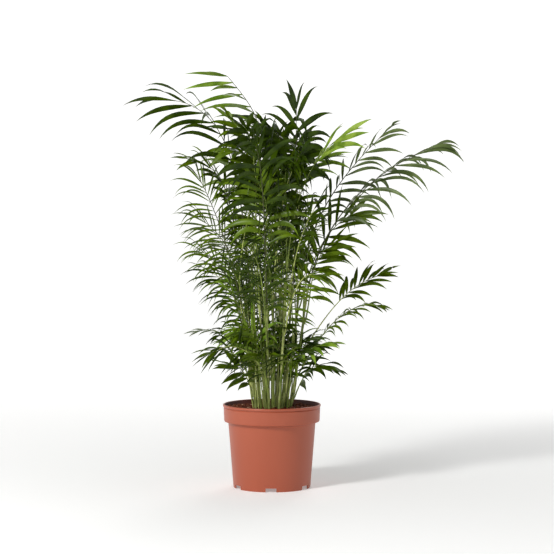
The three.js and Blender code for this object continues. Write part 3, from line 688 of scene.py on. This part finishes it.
for level, (kind, count, *ranges, width, gap) in enumerate(INNER):
    for n in range(count):
        i = level * INNER_STEP + n
        sizes = drawn(INNER_DRAWS, ranges, i)
        if kind == "sucker":
            stem = STEMS + n
        else:
            stem = (CANE_STEP * i) % STEMS
            sizes["from"] = min(sizes["from"], highest[stem] - BELOW_HIGHEST)
        if kind in FACING:
            heading = mix(*FACING[kind], vary(38, i))
        else:
            heading = stem_heading(stem) + mix(*INNER_TURN, vary(38, i))
        fronds.append({**USUAL, "name": f"{kind}_{n + 1}", "kind": kind, "stem": stem, **sizes,
                       "spread": INNER_SPREAD, "early": INNER_EARLY, "heading": heading,
                       "roll": mix(*INNER_ROLL, vary(i, 39)), "width": width, "gap": gap, "wild": WILD})
print(len(fronds), "fronds in all")

# %% [markdown]
# A cane ends just above the foot of its highest frond. The suckers spring from stubs that stay
# under the soil. Three fronds are turned a few degrees about their canes, so that they pass their
# neighbours instead of growing through them.

# %% Stand up the canes
ABOVE_YOUNGEST = 6
TURNED = {"left_7": 12, "right_2": 8, "mid_6": -4}
for number, frond in enumerate(fronds):
    frond["number"] = number
    frond["heading"] += TURNED.get(frond["name"], 0)
stems = [Stem(i, math.sqrt((i + 0.5) / STEMS), highest[i] + ABOVE_YOUNGEST) for i in range(STEMS)]
suckers = sum(frond.get("kind") == "sucker" for frond in fronds)
stubs = [Stem(STEMS + n, math.sqrt((n + 0.5) / suckers), SOIL_TOP - 3) for n in range(suckers)]
print(len(stems), "canes, the tallest to", max(stem.top for stem in stems), "mm")

# %% [markdown]
# ## Canes
# A cane looks like thin bamboo: smooth green joints, each a little waisted, and a swollen ring
# where a frond has dropped. Separate joints could be stacked, but a cane is one living tube. So one
# cane is modelled with nine joints, then copied sixteen times and laid along each line, tapering as
# it climbs. The pale scar round each swelling is a ring of its own, because its colour belongs to
# that place.

# %% Model a cane and a scar
JOINTS = 9
WAIST, SWELLING = 0.93, 1.13  # radii, as shares of the cane's
RING = 0.985  # place of the swollen ring along its joint
cane_profile = [(1.0, 0.0)]
for joint in range(JOINTS):
    cane_profile += [(1.0, joint + 0.04), (WAIST, joint + 0.22), (WAIST, joint + 0.78),
                     (1.0, joint + 0.93), (SWELLING, joint + RING)]
cane_profile.append((1.04, JOINTS))
cane_pattern = grown_ring_by_ring("cane_pattern", 12, cane_profile)
scar_profile = [(0.9, -1), (1.16, -0.7), (1.2, 0), (1.16, 0.7), (0.9, 1)]
scar_pattern = grown_ring_by_ring("scar_pattern", 12, scar_profile)
print("one cane:", len(cane_pattern.data.polygons), "faces, one scar:", len(scar_pattern.data.polygons))

# %% [markdown]
# Laying a cane down is a change of corners: the pattern's height becomes height on the line, and
# its radius the cane's radius there. Each cane is turned a little further than the last, so that
# their facets don't line up. Every second cane is painted a darker green as painted shade, and the
# others a paler green as painted light, so there are two joined pieces.

# %% Lay the canes along their lines
CANE_TURN = 40  # degrees
IN_SOIL = 2  # how deep a cane's foot stands
SCAR_HALF = 0.9  # half the scar's height


def laid_on_stem(pattern, stem, low, high):
    """The pattern's corners, its height shared out between two heights of the cane."""
    body = corners_of(pattern)
    tall = body[:, 2].max() - body[:, 2].min()
    z = mix(low, high, (body[:, 2] - body[:, 2].min()) / tall)
    turn = math.radians(CANE_TURN * stem.number)
    x = body[:, 0] * math.cos(turn) - body[:, 1] * math.sin(turn)
    y = body[:, 0] * math.sin(turn) + body[:, 1] * math.cos(turn)
    return stem.at(z) + np.stack([x, y, 0 * x], -1) * stem.radius(z)[:, None]


def ring_height(stem, joint):
    return mix(SOIL_TOP + CLEAR, stem.top, (joint + RING) / JOINTS)


def canes_of(name, mine):
    places = [laid_on_stem(cane_pattern, stem, SOIL_TOP - IN_SOIL, stem.top) for stem in mine]
    return joined_copies(name, cane_pattern, np.array(places))


stems_painted_lit, stems_painted_shaded = stems[0::2], stems[1::2]
canes_painted_lit = canes_of("canes_painted_lit", stems_painted_lit)
canes_painted_shaded = canes_of("canes_painted_shaded", stems_painted_shaded)
scars = joined_copies("leaf_scars", scar_pattern, np.array(
    [laid_on_stem(scar_pattern, s, ring_height(s, j) - SCAR_HALF, ring_height(s, j) + SCAR_HALF)
     for s in stems for j in range(JOINTS - 1)]))
for piece in (canes_painted_lit, canes_painted_shaded, scars):
    print(piece.name, len(piece.data.polygons), "faces")

# %% [markdown]
# Living cane is waxy and fibrous. Its green is broken by pale streaks that run along it, some
# 1.5 mm apart, and by patches some 45 mm wide, and it has a soft gloss. A wave pattern would look
# combed, so a noise that is stretched along Z draws the streaks. A leaf scar is dry cork: paler,
# coarser and matt.

# %% Waxy green cane
ALONG = 0.06  # scale along the cane, which makes the streaks long
PATCH = 45


def fibrous(name, dark, pale, streak, gloss_range, bump):
    """A plant fibre's finish: streak is the distance between streaks, in millimetres."""
    material, tree, shader = new_material(name, IOR=1.45, Specular_IOR_Level=0.3)
    where = add_node(tree, "ShaderNodeTexCoord")
    drawn_out = add_node(tree, "ShaderNodeMapping", {"Scale": (1, 1, ALONG)}, {"Vector": (where, "Object")})
    streaks = add_node(tree, "ShaderNodeTexNoise", {"Scale": 1 / (streak * MM), "Detail": 3},
                       {"Vector": (drawn_out, "Vector")})
    patches = add_node(tree, "ShaderNodeTexNoise", {"Scale": 1 / (PATCH * MM), "Detail": 2},
                       {"Vector": (where, "Object")})
    blend = add_node(tree, "ShaderNodeMath", {1: 0.5}, {0: (streaks, "Fac")}, operation="MULTIPLY")
    blend = add_node(tree, "ShaderNodeMath", {1: 0.5}, {0: (patches, "Fac"), 2: (blend, "Value")},
                     operation="MULTIPLY_ADD")
    contrast = add_node(tree, "ShaderNodeMapRange", {"From Min": 0.36, "From Max": 0.64},
                        {"Value": (blend, "Value")})
    tone = add_node(tree, "ShaderNodeMix", {"A": linear(dark), "B": linear(pale)},
                    {"Factor": (contrast, "Result")}, data_type="RGBA")
    tree.links.new(tone.outputs["Result"], shader.inputs["Base Color"])
    gloss = add_node(tree, "ShaderNodeMapRange", {"To Min": gloss_range[0], "To Max": gloss_range[1]},
                     {"Value": (streaks, "Fac")})
    tree.links.new(gloss.outputs["Result"], shader.inputs["Roughness"])
    ridges = add_node(tree, "ShaderNodeBump", {"Strength": bump, "Distance": 0.3 * MM},
                      {"Height": (streaks, "Fac")})
    tree.links.new(ridges.outputs["Normal"], shader.inputs["Normal"])
    return material


# painted light and shade: one cane finish in a paler copy for lit canes and a darker copy for shaded ones
canes_painted_lit.data.materials.append(fibrous("waxy_cane_painted_lit", "#59652A", "#B8C078", 1.5, (0.38, 0.55), 0.25))
canes_painted_shaded.data.materials.append(fibrous("waxy_cane_painted_shaded", "#27310A", "#6E7A34", 1.5, (0.38, 0.55), 0.25))
scars.data.materials.append(fibrous("dry_leaf_scar", "#8C8458", "#B9B48A", 2.5, (0.7, 0.85), 0.3))
for piece in (canes_painted_lit, canes_painted_shaded, scars):
    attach(piece, "root")
for piece, mine in ((canes_painted_lit, stems_painted_lit), (canes_painted_shaded, stems_painted_shaded)):
    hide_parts(*[f"stem_{stem.number + 1:02d}" for stem in mine])
print("canes replace", len(stems), "nodes")

# %% [markdown]
# ## Ribs
# The stalk leaves its cane almost along it, then the rib arches out and noses down under the weight
# of its leaflets. One smooth curve with four handles gives that: it starts along the cane and ends
# at the pitch of the tip. Distance along the curve then says where each leaflet sits.

# %% The curve of a rib
STALK_FOOT, STALK_TIP = 2.1, 1.1  # radii
CURVE_STEPS = 200


class Rib:
    """A frond's curve: ends and handles as in the solids, measured by its length."""

    def __init__(self, frond):
        stem = (stems + stubs)[frond["stem"]]
        out = compass(frond["heading"])
        on_tip = frond["from"] > stem.top - ABOVE_YOUNGEST - 0.01
        z = stem.top + CLEAR if on_tip else frond["from"]
        aside = 0 if on_tip else stem.radius(z) + STALK_FOOT + CLEAR
        foot = stem.at(z) + out * aside
        tip = stem.at(frond["from"]) + out * frond["reach"] + UP * frond["rise"]
        chord = math.hypot(frond["reach"], frond["rise"])
        launch = unit(stem.direction + out * math.tan(math.radians(frond["spread"])))
        nod = math.radians(frond["nod"])
        landing = out * math.cos(nod) + UP * math.sin(nod)
        near_foot = foot + launch * chord * frond["early"]
        near_tip = tip - landing * chord * frond["late"]
        self.handles = (foot, near_foot, near_tip, tip)
        self.frond, self.stem, self.out, self.on_tip = frond, stem, out, on_tip
        self.times = np.linspace(0, 1, CURVE_STEPS + 1)
        steps = np.linalg.norm(np.diff(self.point(self.times), axis=0), axis=1)
        self.lengths = np.concatenate([[0], np.cumsum(steps)])
        self.length = self.lengths[-1]

    def point(self, t):
        a, b, c, d = self.handles
        t = np.asarray(t)[..., None]
        return (1 - t) ** 3 * a + 3 * t * (1 - t) ** 2 * b + 3 * t * t * (1 - t) * c + t ** 3 * d

    def slope(self, t):
        a, b, c, d = self.handles
        t = np.asarray(t)[..., None]
        return unit((1 - t) ** 2 * (b - a) + 2 * t * (1 - t) * (c - b) + t * t * (d - c))

    def frame(self, distance):
        """Places at distances from the foot, and the ways ahead, across the blade and over it."""
        t = np.interp(distance, self.lengths, self.times)
        ahead = self.slope(t)
        across = compass(self.frond["heading"] + 90)
        level = unit(across - ahead * (ahead @ across)[:, None])
        roll = math.radians(self.frond["roll"])
        side = level * math.cos(roll) + np.cross(ahead, level) * math.sin(roll)
        return self.point(t), ahead, side, np.cross(ahead, side)


ribs = [Rib(frond) for frond in fronds]
print("longest rib", round(max(rib.length for rib in ribs)), "mm")

# %% [markdown]
# ## Stalks
# Stalk and rib are one tapering tube that flattens towards its tip. A curve object with a bevel
# would draw it, but a hundred curves are slow to join. One straight tube of thirty rings is bent
# along each rib instead. Its foot starts inside the cane and comes out of it, as a real one grows
# out of its sleeve. The small inner fronds have thinner stalks.

# %% Lay a stalk along its rib
STALK_RINGS = 30
FINE_TIP, FLAT_TIP = 0.7, 0.8  # shares of the solid's tip radius, and of the tube's width
COMES_OUT = 0.06  # share of its length over which the foot comes out of the cane
INNER_THICK = 0.75  # share of a usual stalk's thickness
stalk_pattern = grown_ring_by_ring("stalk_pattern", 8, [(1.0, n) for n in range(STALK_RINGS + 1)])


def laid_on_rib(rib):
    body = corners_of(stalk_pattern)
    ring = np.rint(body[:, 2]).astype(int)
    share = np.arange(STALK_RINGS + 1) / STALK_RINGS
    place, ahead, side, over = rib.frame(share * rib.length)
    drawn_in = np.maximum(0, 1 - share / COMES_OUT) * (0 if rib.on_tip else STALK_FOOT)
    place = place - rib.out * drawn_in[:, None]
    thick = mix(STALK_FOOT, STALK_TIP * FINE_TIP, share) * (INNER_THICK if "kind" in rib.frond else 1)
    flat = mix(1.0, FLAT_TIP, share)
    x = body[:, 0] * thick[ring]
    y = body[:, 1] * (thick * flat)[ring]
    return place[ring] + side[ring] * x[:, None] + over[ring] * y[:, None]


print("one stalk:", len(stalk_pattern.data.polygons), "faces")

# %% [markdown]
# Stalks darken with age. A young one is a light yellow-green, a grown one as green as the canes, and
# the old ones, most of them high up, are weathered to a dull olive. The finish is the canes' own,
# but smoother. Each age is one joined piece.

# %% Stalks of three ages
WEATHERED = ["top_arch", "left_high", "left_1", "left_2", "left_3", "left_4", "right_high",
             "top_centre", "front_high", "right_far", "top_1"]
STALKS = {"young": ("#7C8C30", "#C2CA7C"), "grown": ("#46551A", "#8A9A48"), "old": ("#33361C", "#565A38")}
YOUNG_SHARE = 0.4


def stalk_age(frond):
    if frond["name"] in WEATHERED:
        return "old"
    return "young" if vary(41, frond["number"]) < YOUNG_SHARE else "grown"


for age, (dark, pale) in STALKS.items():
    mine = [rib for rib in ribs if stalk_age(rib.frond) == age]
    stalks = joined_copies(age + "_stalks", stalk_pattern, np.array([laid_on_rib(rib) for rib in mine]))
    stalks.data.materials.append(fibrous(f"smooth_{age}_stalk", dark, pale, 1.5, (0.36, 0.5), 0.15))
    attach(stalks, "root")
    print(stalks.name, len(mine), "stalks,", len(stalks.data.polygons), "faces")

# %% [markdown]
# ## Sheaths
# The foot of each stalk is a sleeve that wraps the cane below it and dries to a papery pale green.
# One sleeve is modelled, swelling in its lower half and drawn in at its mouth. Each copy follows
# its cane. A side frond's sleeve widens and leans over to take in the stalk, and the one at the tip
# of a cane closes on it. Suckers have theirs under the soil, so they get none.

# %% Sheaths round the canes
SHEATH_LENGTH = 46
MOUTH_OVER_TIP, MOUTH_OVER_FOOT = 12, 9  # above the end of a cane, or above a side frond's foot
MOUTH_LEAN = 2.2
MOUTH_CLOSED, MOUTH_WIDE = 0.86, 1.16  # shares of the sleeve's radius
sheath_profile = [(1.0, 0.0), (1.07, 0.03), (1.12, 0.25), (1.14, 0.5), (1.12, 0.75), (1.08, 0.92),
                  (1.03, 1.0)]
sheath_pattern = grown_ring_by_ring("sheath_pattern", 10, sheath_profile)


def laid_as_sheath(rib):
    body = corners_of(sheath_pattern)
    share = body[:, 2]
    top = rib.frond["from"] + (ABOVE_YOUNGEST + MOUTH_OVER_TIP if rib.on_tip else MOUTH_OVER_FOOT)
    low = max(SOIL_TOP + 1, top - SHEATH_LENGTH)
    z = mix(low, top, share)
    lean = 0 if rib.on_tip else MOUTH_LEAN * share ** 2
    radius = rib.stem.radius(np.minimum(z, rib.stem.top))
    radius = radius * mix(1, MOUTH_CLOSED if rib.on_tip else MOUTH_WIDE, share ** 2)
    ring = np.stack([body[:, 0], body[:, 1], 0 * share], -1) * radius[:, None]
    return rib.stem.at(z) + rib.out * np.asarray(lean)[..., None] + ring


sheathed = [rib for rib in ribs if rib.frond.get("kind") != "sucker"]
sheaths = joined_copies("sheaths", sheath_pattern, np.array([laid_as_sheath(rib) for rib in sheathed]))
sheaths.data.materials.append(fibrous("papery_sheath", "#4C581C", "#A2AC66", 2.0, (0.5, 0.7), 0.35))
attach(sheaths, "root")
print(len(sheathed), "sheaths,", len(sheaths.data.polygons), "faces")

# %% [markdown]
# ## One leaflet
# A leaflet is a narrow blade, widest a little before its middle and drawn out to a fine tip. It is
# folded along its midrib like a shallow gutter, which stiffens it and catches the light on one half
# at a time. A flat card cut to its shape would be lighter, but would have neither fold nor
# thickness. So a grid of two rows is shaped column by column, and its middle row is pressed down
# for the fold. With a few dozen faces, some thousands of copies stay light.

# %% Shape the leaflet
BLADE_STEPS = 10
WIDEST = 0.42  # share of the blade's length
PINCH, TAPER = 0.2, 1.25  # width where it leaves the rib, and how fine its tip is drawn
FOLD, THICK = 0.32, 0.09  # shares of the blade's half width


def blade_outline(share):
    """Half width along the blade, as a share of the widest."""
    rising = PINCH + (1 - PINCH) * math.sin(min(1, share / WIDEST) * math.pi / 2)
    falling = math.cos(max(0, share - WIDEST) / (1 - WIDEST) * math.pi / 2) ** TAPER
    return rising if share < WIDEST else falling


select_nothing()
bpy.ops.mesh.primitive_grid_add(x_subdivisions=BLADE_STEPS, y_subdivisions=2, size=2, location=(0, 0, 0))
blade = bpy.context.object
blade.name = "leaflet_pattern"
blade.location.x, blade.scale.x = BLADE_STEPS / 2, BLADE_STEPS / 2
bpy.ops.object.transform_apply(location=True, rotation=True, scale=True)


def select_corners(test):
    bpy.ops.object.mode_set(mode="OBJECT")
    for part in (blade.data.polygons, blade.data.edges, blade.data.vertices):
        part.foreach_set("select", [False] * len(part))
    for corner in blade.data.vertices:
        corner.select = test(corner)
    bpy.ops.object.mode_set(mode="EDIT")


def in_column(corner, step):
    return abs(corner.co.x - step) < 0.1


def on_midrib(corner):
    return abs(corner.co.y) < 0.01


for step in range(BLADE_STEPS):
    select_corners(lambda corner: in_column(corner, step))
    width = blade_outline(step / BLADE_STEPS)
    bpy.ops.transform.resize(value=(1, width, width), center_override=(step, 0, 0))
    select_corners(lambda corner: in_column(corner, step) and on_midrib(corner))
    bpy.ops.transform.translate(value=(0, 0, -FOLD * width))
select_corners(lambda corner: in_column(corner, BLADE_STEPS))
bpy.ops.mesh.merge(type="CENTER")
bpy.ops.object.mode_set(mode="OBJECT")
print("leaflet's upper side:", len(blade.data.polygons), "faces")

# %% [markdown]
# A leaf is thin, but it has two sides, and a mesh with one would look wrong from below. Solidify
# would add walls along both edges. Instead the upper side is doubled and turned over, its midrib is
# pressed down a little further, and the two are merged along their shared edges.

# %% Close the leaflet from below
bpy.ops.object.mode_set(mode="EDIT")
bpy.ops.mesh.select_all(action="SELECT")
bpy.ops.mesh.duplicate()
bpy.ops.mesh.flip_normals()
bpy.ops.object.mode_set(mode="OBJECT")
under = {corner.index for corner in blade.data.vertices if corner.select}
for step in range(BLADE_STEPS):
    select_corners(lambda corner: corner.index in under and in_column(corner, step) and on_midrib(corner))
    bpy.ops.transform.translate(value=(0, 0, -THICK * blade_outline(step / BLADE_STEPS)))
bpy.ops.mesh.select_all(action="SELECT")
bpy.ops.mesh.remove_doubles(threshold=1e-4)
bpy.ops.object.mode_set(mode="OBJECT")
print("leaflet pattern:", len(blade.data.vertices), "corners,", len(blade.data.polygons), "faces")

# %% [markdown]
# ## Where the leaflets sit
# Leaflets leave the rib in uneven pairs, one of each pair a little behind the other. They fill its
# outer part and leave the stalk bare. They could be set at fixed places, but the number of pairs
# follows from the length of the blade and the gap between them, as it does on the plant.

# %% Leaflets of a frond
BLADE_MOST = 0.72  # share of the rib
BEHIND = 0.45  # share of a gap
FEWEST_PAIRS = 4
FROND_STEP = 31  # numbers kept for a frond


def leaflet_places(rib):
    """The blade's length, and for each leaflet its hand, its share of the blade and its number."""
    frond = rib.frond
    length = min(frond["blade"], rib.length * BLADE_MOST)
    pairs = max(FEWEST_PAIRS, round(length / frond["gap"]))
    pair = np.repeat(np.arange(pairs + 1), 2)
    hand = np.tile([1.0, -1.0], pairs + 1)
    share = np.minimum(1, (pair + BEHIND * (hand < 0)) / pairs)
    return length, hand, share, frond["number"] * FROND_STEP + pair * 2 + (hand > 0)


counts = [len(leaflet_places(rib)[1]) for rib in ribs]
print(sum(counts), "leaflets,", min(counts), "to", max(counts), "a frond")

# %% [markdown]
# ## How a leaflet hangs
# Near the stalk leaflets stand wide open, and towards the tip they close on the rib. The longest
# sit in the middle of the blade. Each leaves at its own angle, lifts a little above the rib, then
# bends down under its weight, more and more towards its tip, with a slight twist. Cloth simulation
# could hang them, but a leaf is stiff, and a line that is bent step by step keeps its length.

# %% The line of every leaflet
TIP_OPEN, CLOSING = 14, 2.2  # degrees at the tip of the blade, and how late the leaflets close
SHORTEST = 0.6  # share of the longest
BULK = (0.15, 0.72)  # where the swell of the lengths begins, and how much of it the blade spans
WEIGHT, HEAVY, SAG = 1.5, (1.35, 0.6), 2.1  # size of the bend, from foot to tip, and how late it comes
UNEVEN = {"opening": 20, "length": 0.3, "lift": 0.4, "weight": 0.8, "width": 0.3, "twist": 1.1}


def dot(a, b):
    return np.sum(a * b, -1, keepdims=True)


def leaflet_lines(rib):
    """For each leaflet of a frond: its middle line, the ways across and above it, and its width."""
    frond = rib.frond
    length, hand, share, number = leaflet_places(rib)
    place, ahead, side, over = rib.frame(rib.length - length * (1 - share))
    wild = frond["wild"]
    opening = mix(frond["open"], TIP_OPEN, share ** CLOSING) + uneven(number, 2, UNEVEN["opening"] * wild)
    opening = np.radians(opening)
    swell = np.sin(np.pi * (BULK[0] + BULK[1] * share))
    long = frond["leaf"] * (SHORTEST + (1 - SHORTEST) * swell)
    long = long * (1 + uneven(number, 3, UNEVEN["length"] * wild))
    # A lift below 0 lowers the leaflets, the more the steeper the rib is.
    lift = frond["lift"] * (ahead[:, 2] if frond["lift"] < 0 else 1)
    lift = lift + uneven(number, 4, UNEVEN["lift"] * wild)
    weight = WEIGHT * frond["droop"] * mix(*HEAVY, share) * (1 + uneven(number, 5, UNEVEN["weight"]))
    half_width = frond["width"] * (1 + uneven(number, 6, UNEVEN["width"] * wild)) / 2
    aside = side * (hand * np.sin(opening))[:, None]
    start = unit(ahead * np.cos(opening)[:, None] + aside + over * lift[:, None])

    step = np.arange(BLADE_STEPS + 1) / BLADE_STEPS
    sag = weight[:, None] * step ** SAG
    heading = unit(start[:, None, :] - UP * sag[..., None])
    moves = heading[:, :-1] * (long / BLADE_STEPS)[:, None, None]
    line = place[:, None, :] + np.concatenate([0 * moves[:, :1], np.cumsum(moves, axis=1)], axis=1)

    ahead, over = ahead[:, None, :], over[:, None, :]
    across = unit(ahead - heading * dot(ahead, heading))
    above = np.cross(heading, across)
    above *= np.sign(dot(above, over))
    twist = (uneven(number, 7, UNEVEN["twist"] * wild)[:, None] * step)[..., None]
    cos, sin = np.cos(twist), np.sin(twist)
    return line, across * cos + above * sin, above * cos - across * sin, half_width


print("first leaflet of", ribs[0].frond["name"], "ends at", np.round(leaflet_lines(ribs[0])[0][0, -1]))

# %% [markdown]
# The pattern is then bent along these lines: how far along it a corner is picks the place on the
# line, and the other two sizes are measured across the line and above it. A leaflet of the other
# hand would come out inside-out, so its width is taken the other way.

# %% Bend the pattern along the lines
def leaflets_of(rib):
    """The corners of every leaflet of one frond."""
    line, across, above, half_width = leaflet_lines(rib)
    body = corners_of(blade)
    at = np.rint(body[:, 0]).astype(int)
    ahead = line[:, 1:2] - line[:, :1]
    flip = np.sign(dot(np.cross(ahead, across[:, :1]), above[:, :1])[..., 0])
    wide = body[None, :, 1] * flip * half_width[:, None]
    high = body[None, :, 2] * half_width[:, None]
    return line[:, at] + across[:, at] * wide[..., None] + above[:, at] * high[..., None]


print("corners of the first frond:", leaflets_of(ribs[0]).shape)

# %% [markdown]
# ## Greens
# A leaf is a living, waxed skin with a satin shine. Older fronds are deep green, younger ones
# brighter, the newest yellow-green, and those that show their underside look greyish. The deep
# tint is also darkened as painted shade, the bright one lightened as a painted highlight, and the
# grey one carries a painted sheen as well as the paler underside. Within a tint, soft patches about
# 30 mm wide, lighter and a little less glossy, keep the leaves from looking flat. Veins are too fine
# to show at this size, so none are drawn.

# %% Satin leaf in five tints
LEAF_PATCH, GLOSS_PLAY = 30, 0.06


def leaf_material(name, shade, light, roughness):
    material, tree, shader = new_material(name, IOR=1.45, Specular_IOR_Level=0.18)
    where = add_node(tree, "ShaderNodeTexCoord")
    patches = add_node(tree, "ShaderNodeTexNoise", {"Scale": 1 / (LEAF_PATCH * MM), "Detail": 3},
                       {"Vector": (where, "Object")})
    contrast = add_node(tree, "ShaderNodeMapRange", {"From Min": 0.35, "From Max": 0.65},
                        {"Value": (patches, "Fac")})
    tone = add_node(tree, "ShaderNodeMix", {"A": linear(shade), "B": linear(light)},
                    {"Factor": (contrast, "Result")}, data_type="RGBA")
    tree.links.new(tone.outputs["Result"], shader.inputs["Base Color"])
    gloss = add_node(tree, "ShaderNodeMapRange",
                     {"To Min": roughness - GLOSS_PLAY, "To Max": roughness + GLOSS_PLAY},
                     {"Value": (patches, "Fac")})
    tree.links.new(gloss.outputs["Result"], shader.inputs["Roughness"])
    return material


TINTS = {  # shaded and light green, roughness, and the slot of the finish
    # deep green, darkened further as painted shade
    "deep_and_shaded": ("#1E3000", "#364A02", 0.31, "leaf"),
    "mid": ("#3D5202", "#5B720C", 0.33, "leaf"),
    # brighter green, lightened as a painted highlight
    "bright_and_lit": ("#567614", "#86A33A", 0.31, "leaf"),
    # the paler underside's grey green, with a painted sheen
    "grey_underside_and_sheen": ("#44532A", "#6A7A48", 0.35, "leaf"),
    "fresh": ("#5C7A20", "#8DA440", 0.36, "fresh_leaf"),
}
finishes = {tint: leaf_material("satin_leaf_" + tint, *look) for tint, (*look, slot) in TINTS.items()}
print("tints:", ", ".join(finishes))

# %% [markdown]
# The tints are dealt out by frond, because a frond ages as a whole and is painted lit or shaded as
# a whole. Most of the large ones are named here, and those that aren't are deep green. The small
# inner ones are dealt by share: deep up to the first number, mid up to the second, and bright above
# it. All leaflets of a tint are one joined piece.

# %% Deal out the tints and grow the leaflets
DEALT = {
    "bright_and_lit": ["top_arch", "left_6", "left_7", "right_1", "right_broad", "low_2"],
    "grey_underside_and_sheen": ["right_far", "right_high", "left_8", "left_3"],
    "fresh": ["right_fresh"],
    "mid": ["left_1", "left_2", "left_4", "left_9", "left_low", "right_2", "right_3", "right_4",
            "right_5", "low_1", "low_4", "mid_2", "mid_4", "mid_6", "top_4"],
}
INNER_TINTS = {"sucker": (0.35, 0.85), "shoot": (0.35, 0.85), "plume": (0.5, 1), "crown": (0.45, 1),
               "skirt": (0.6, 0.95)}
dealt = {name: tint for tint, names in DEALT.items() for name in names}


def tint_of(frond):
    if "kind" not in frond:
        return dealt.get(frond["name"], "deep_and_shaded")
    share = vary(40, frond["number"])
    deep_until, mid_until = INNER_TINTS[frond["kind"]]
    return "deep_and_shaded" if share < deep_until else "mid" if share < mid_until else "bright_and_lit"


for tint, (*_, slot) in TINTS.items():
    mine = [rib for rib in ribs if tint_of(rib.frond) == tint]
    leaflets = joined_copies("leaflets_" + tint, blade, np.concatenate([leaflets_of(rib) for rib in mine]))
    leaflets.data.materials.append(finishes[tint])
    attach(leaflets, "root")
    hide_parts(*["frond_" + rib.frond["name"] for rib in mine if "kind" not in rib.frond])
    print(leaflets.name, len(mine), "fronds,", len(leaflets.data.polygons), "faces")

# %% [markdown]
# ## Put the patterns away
# The patterns have done their work.

# %% Put the patterns away
for pattern in (cane_pattern, scar_pattern, stalk_pattern, sheath_pattern, blade):
    bpy.data.objects.remove(pattern)
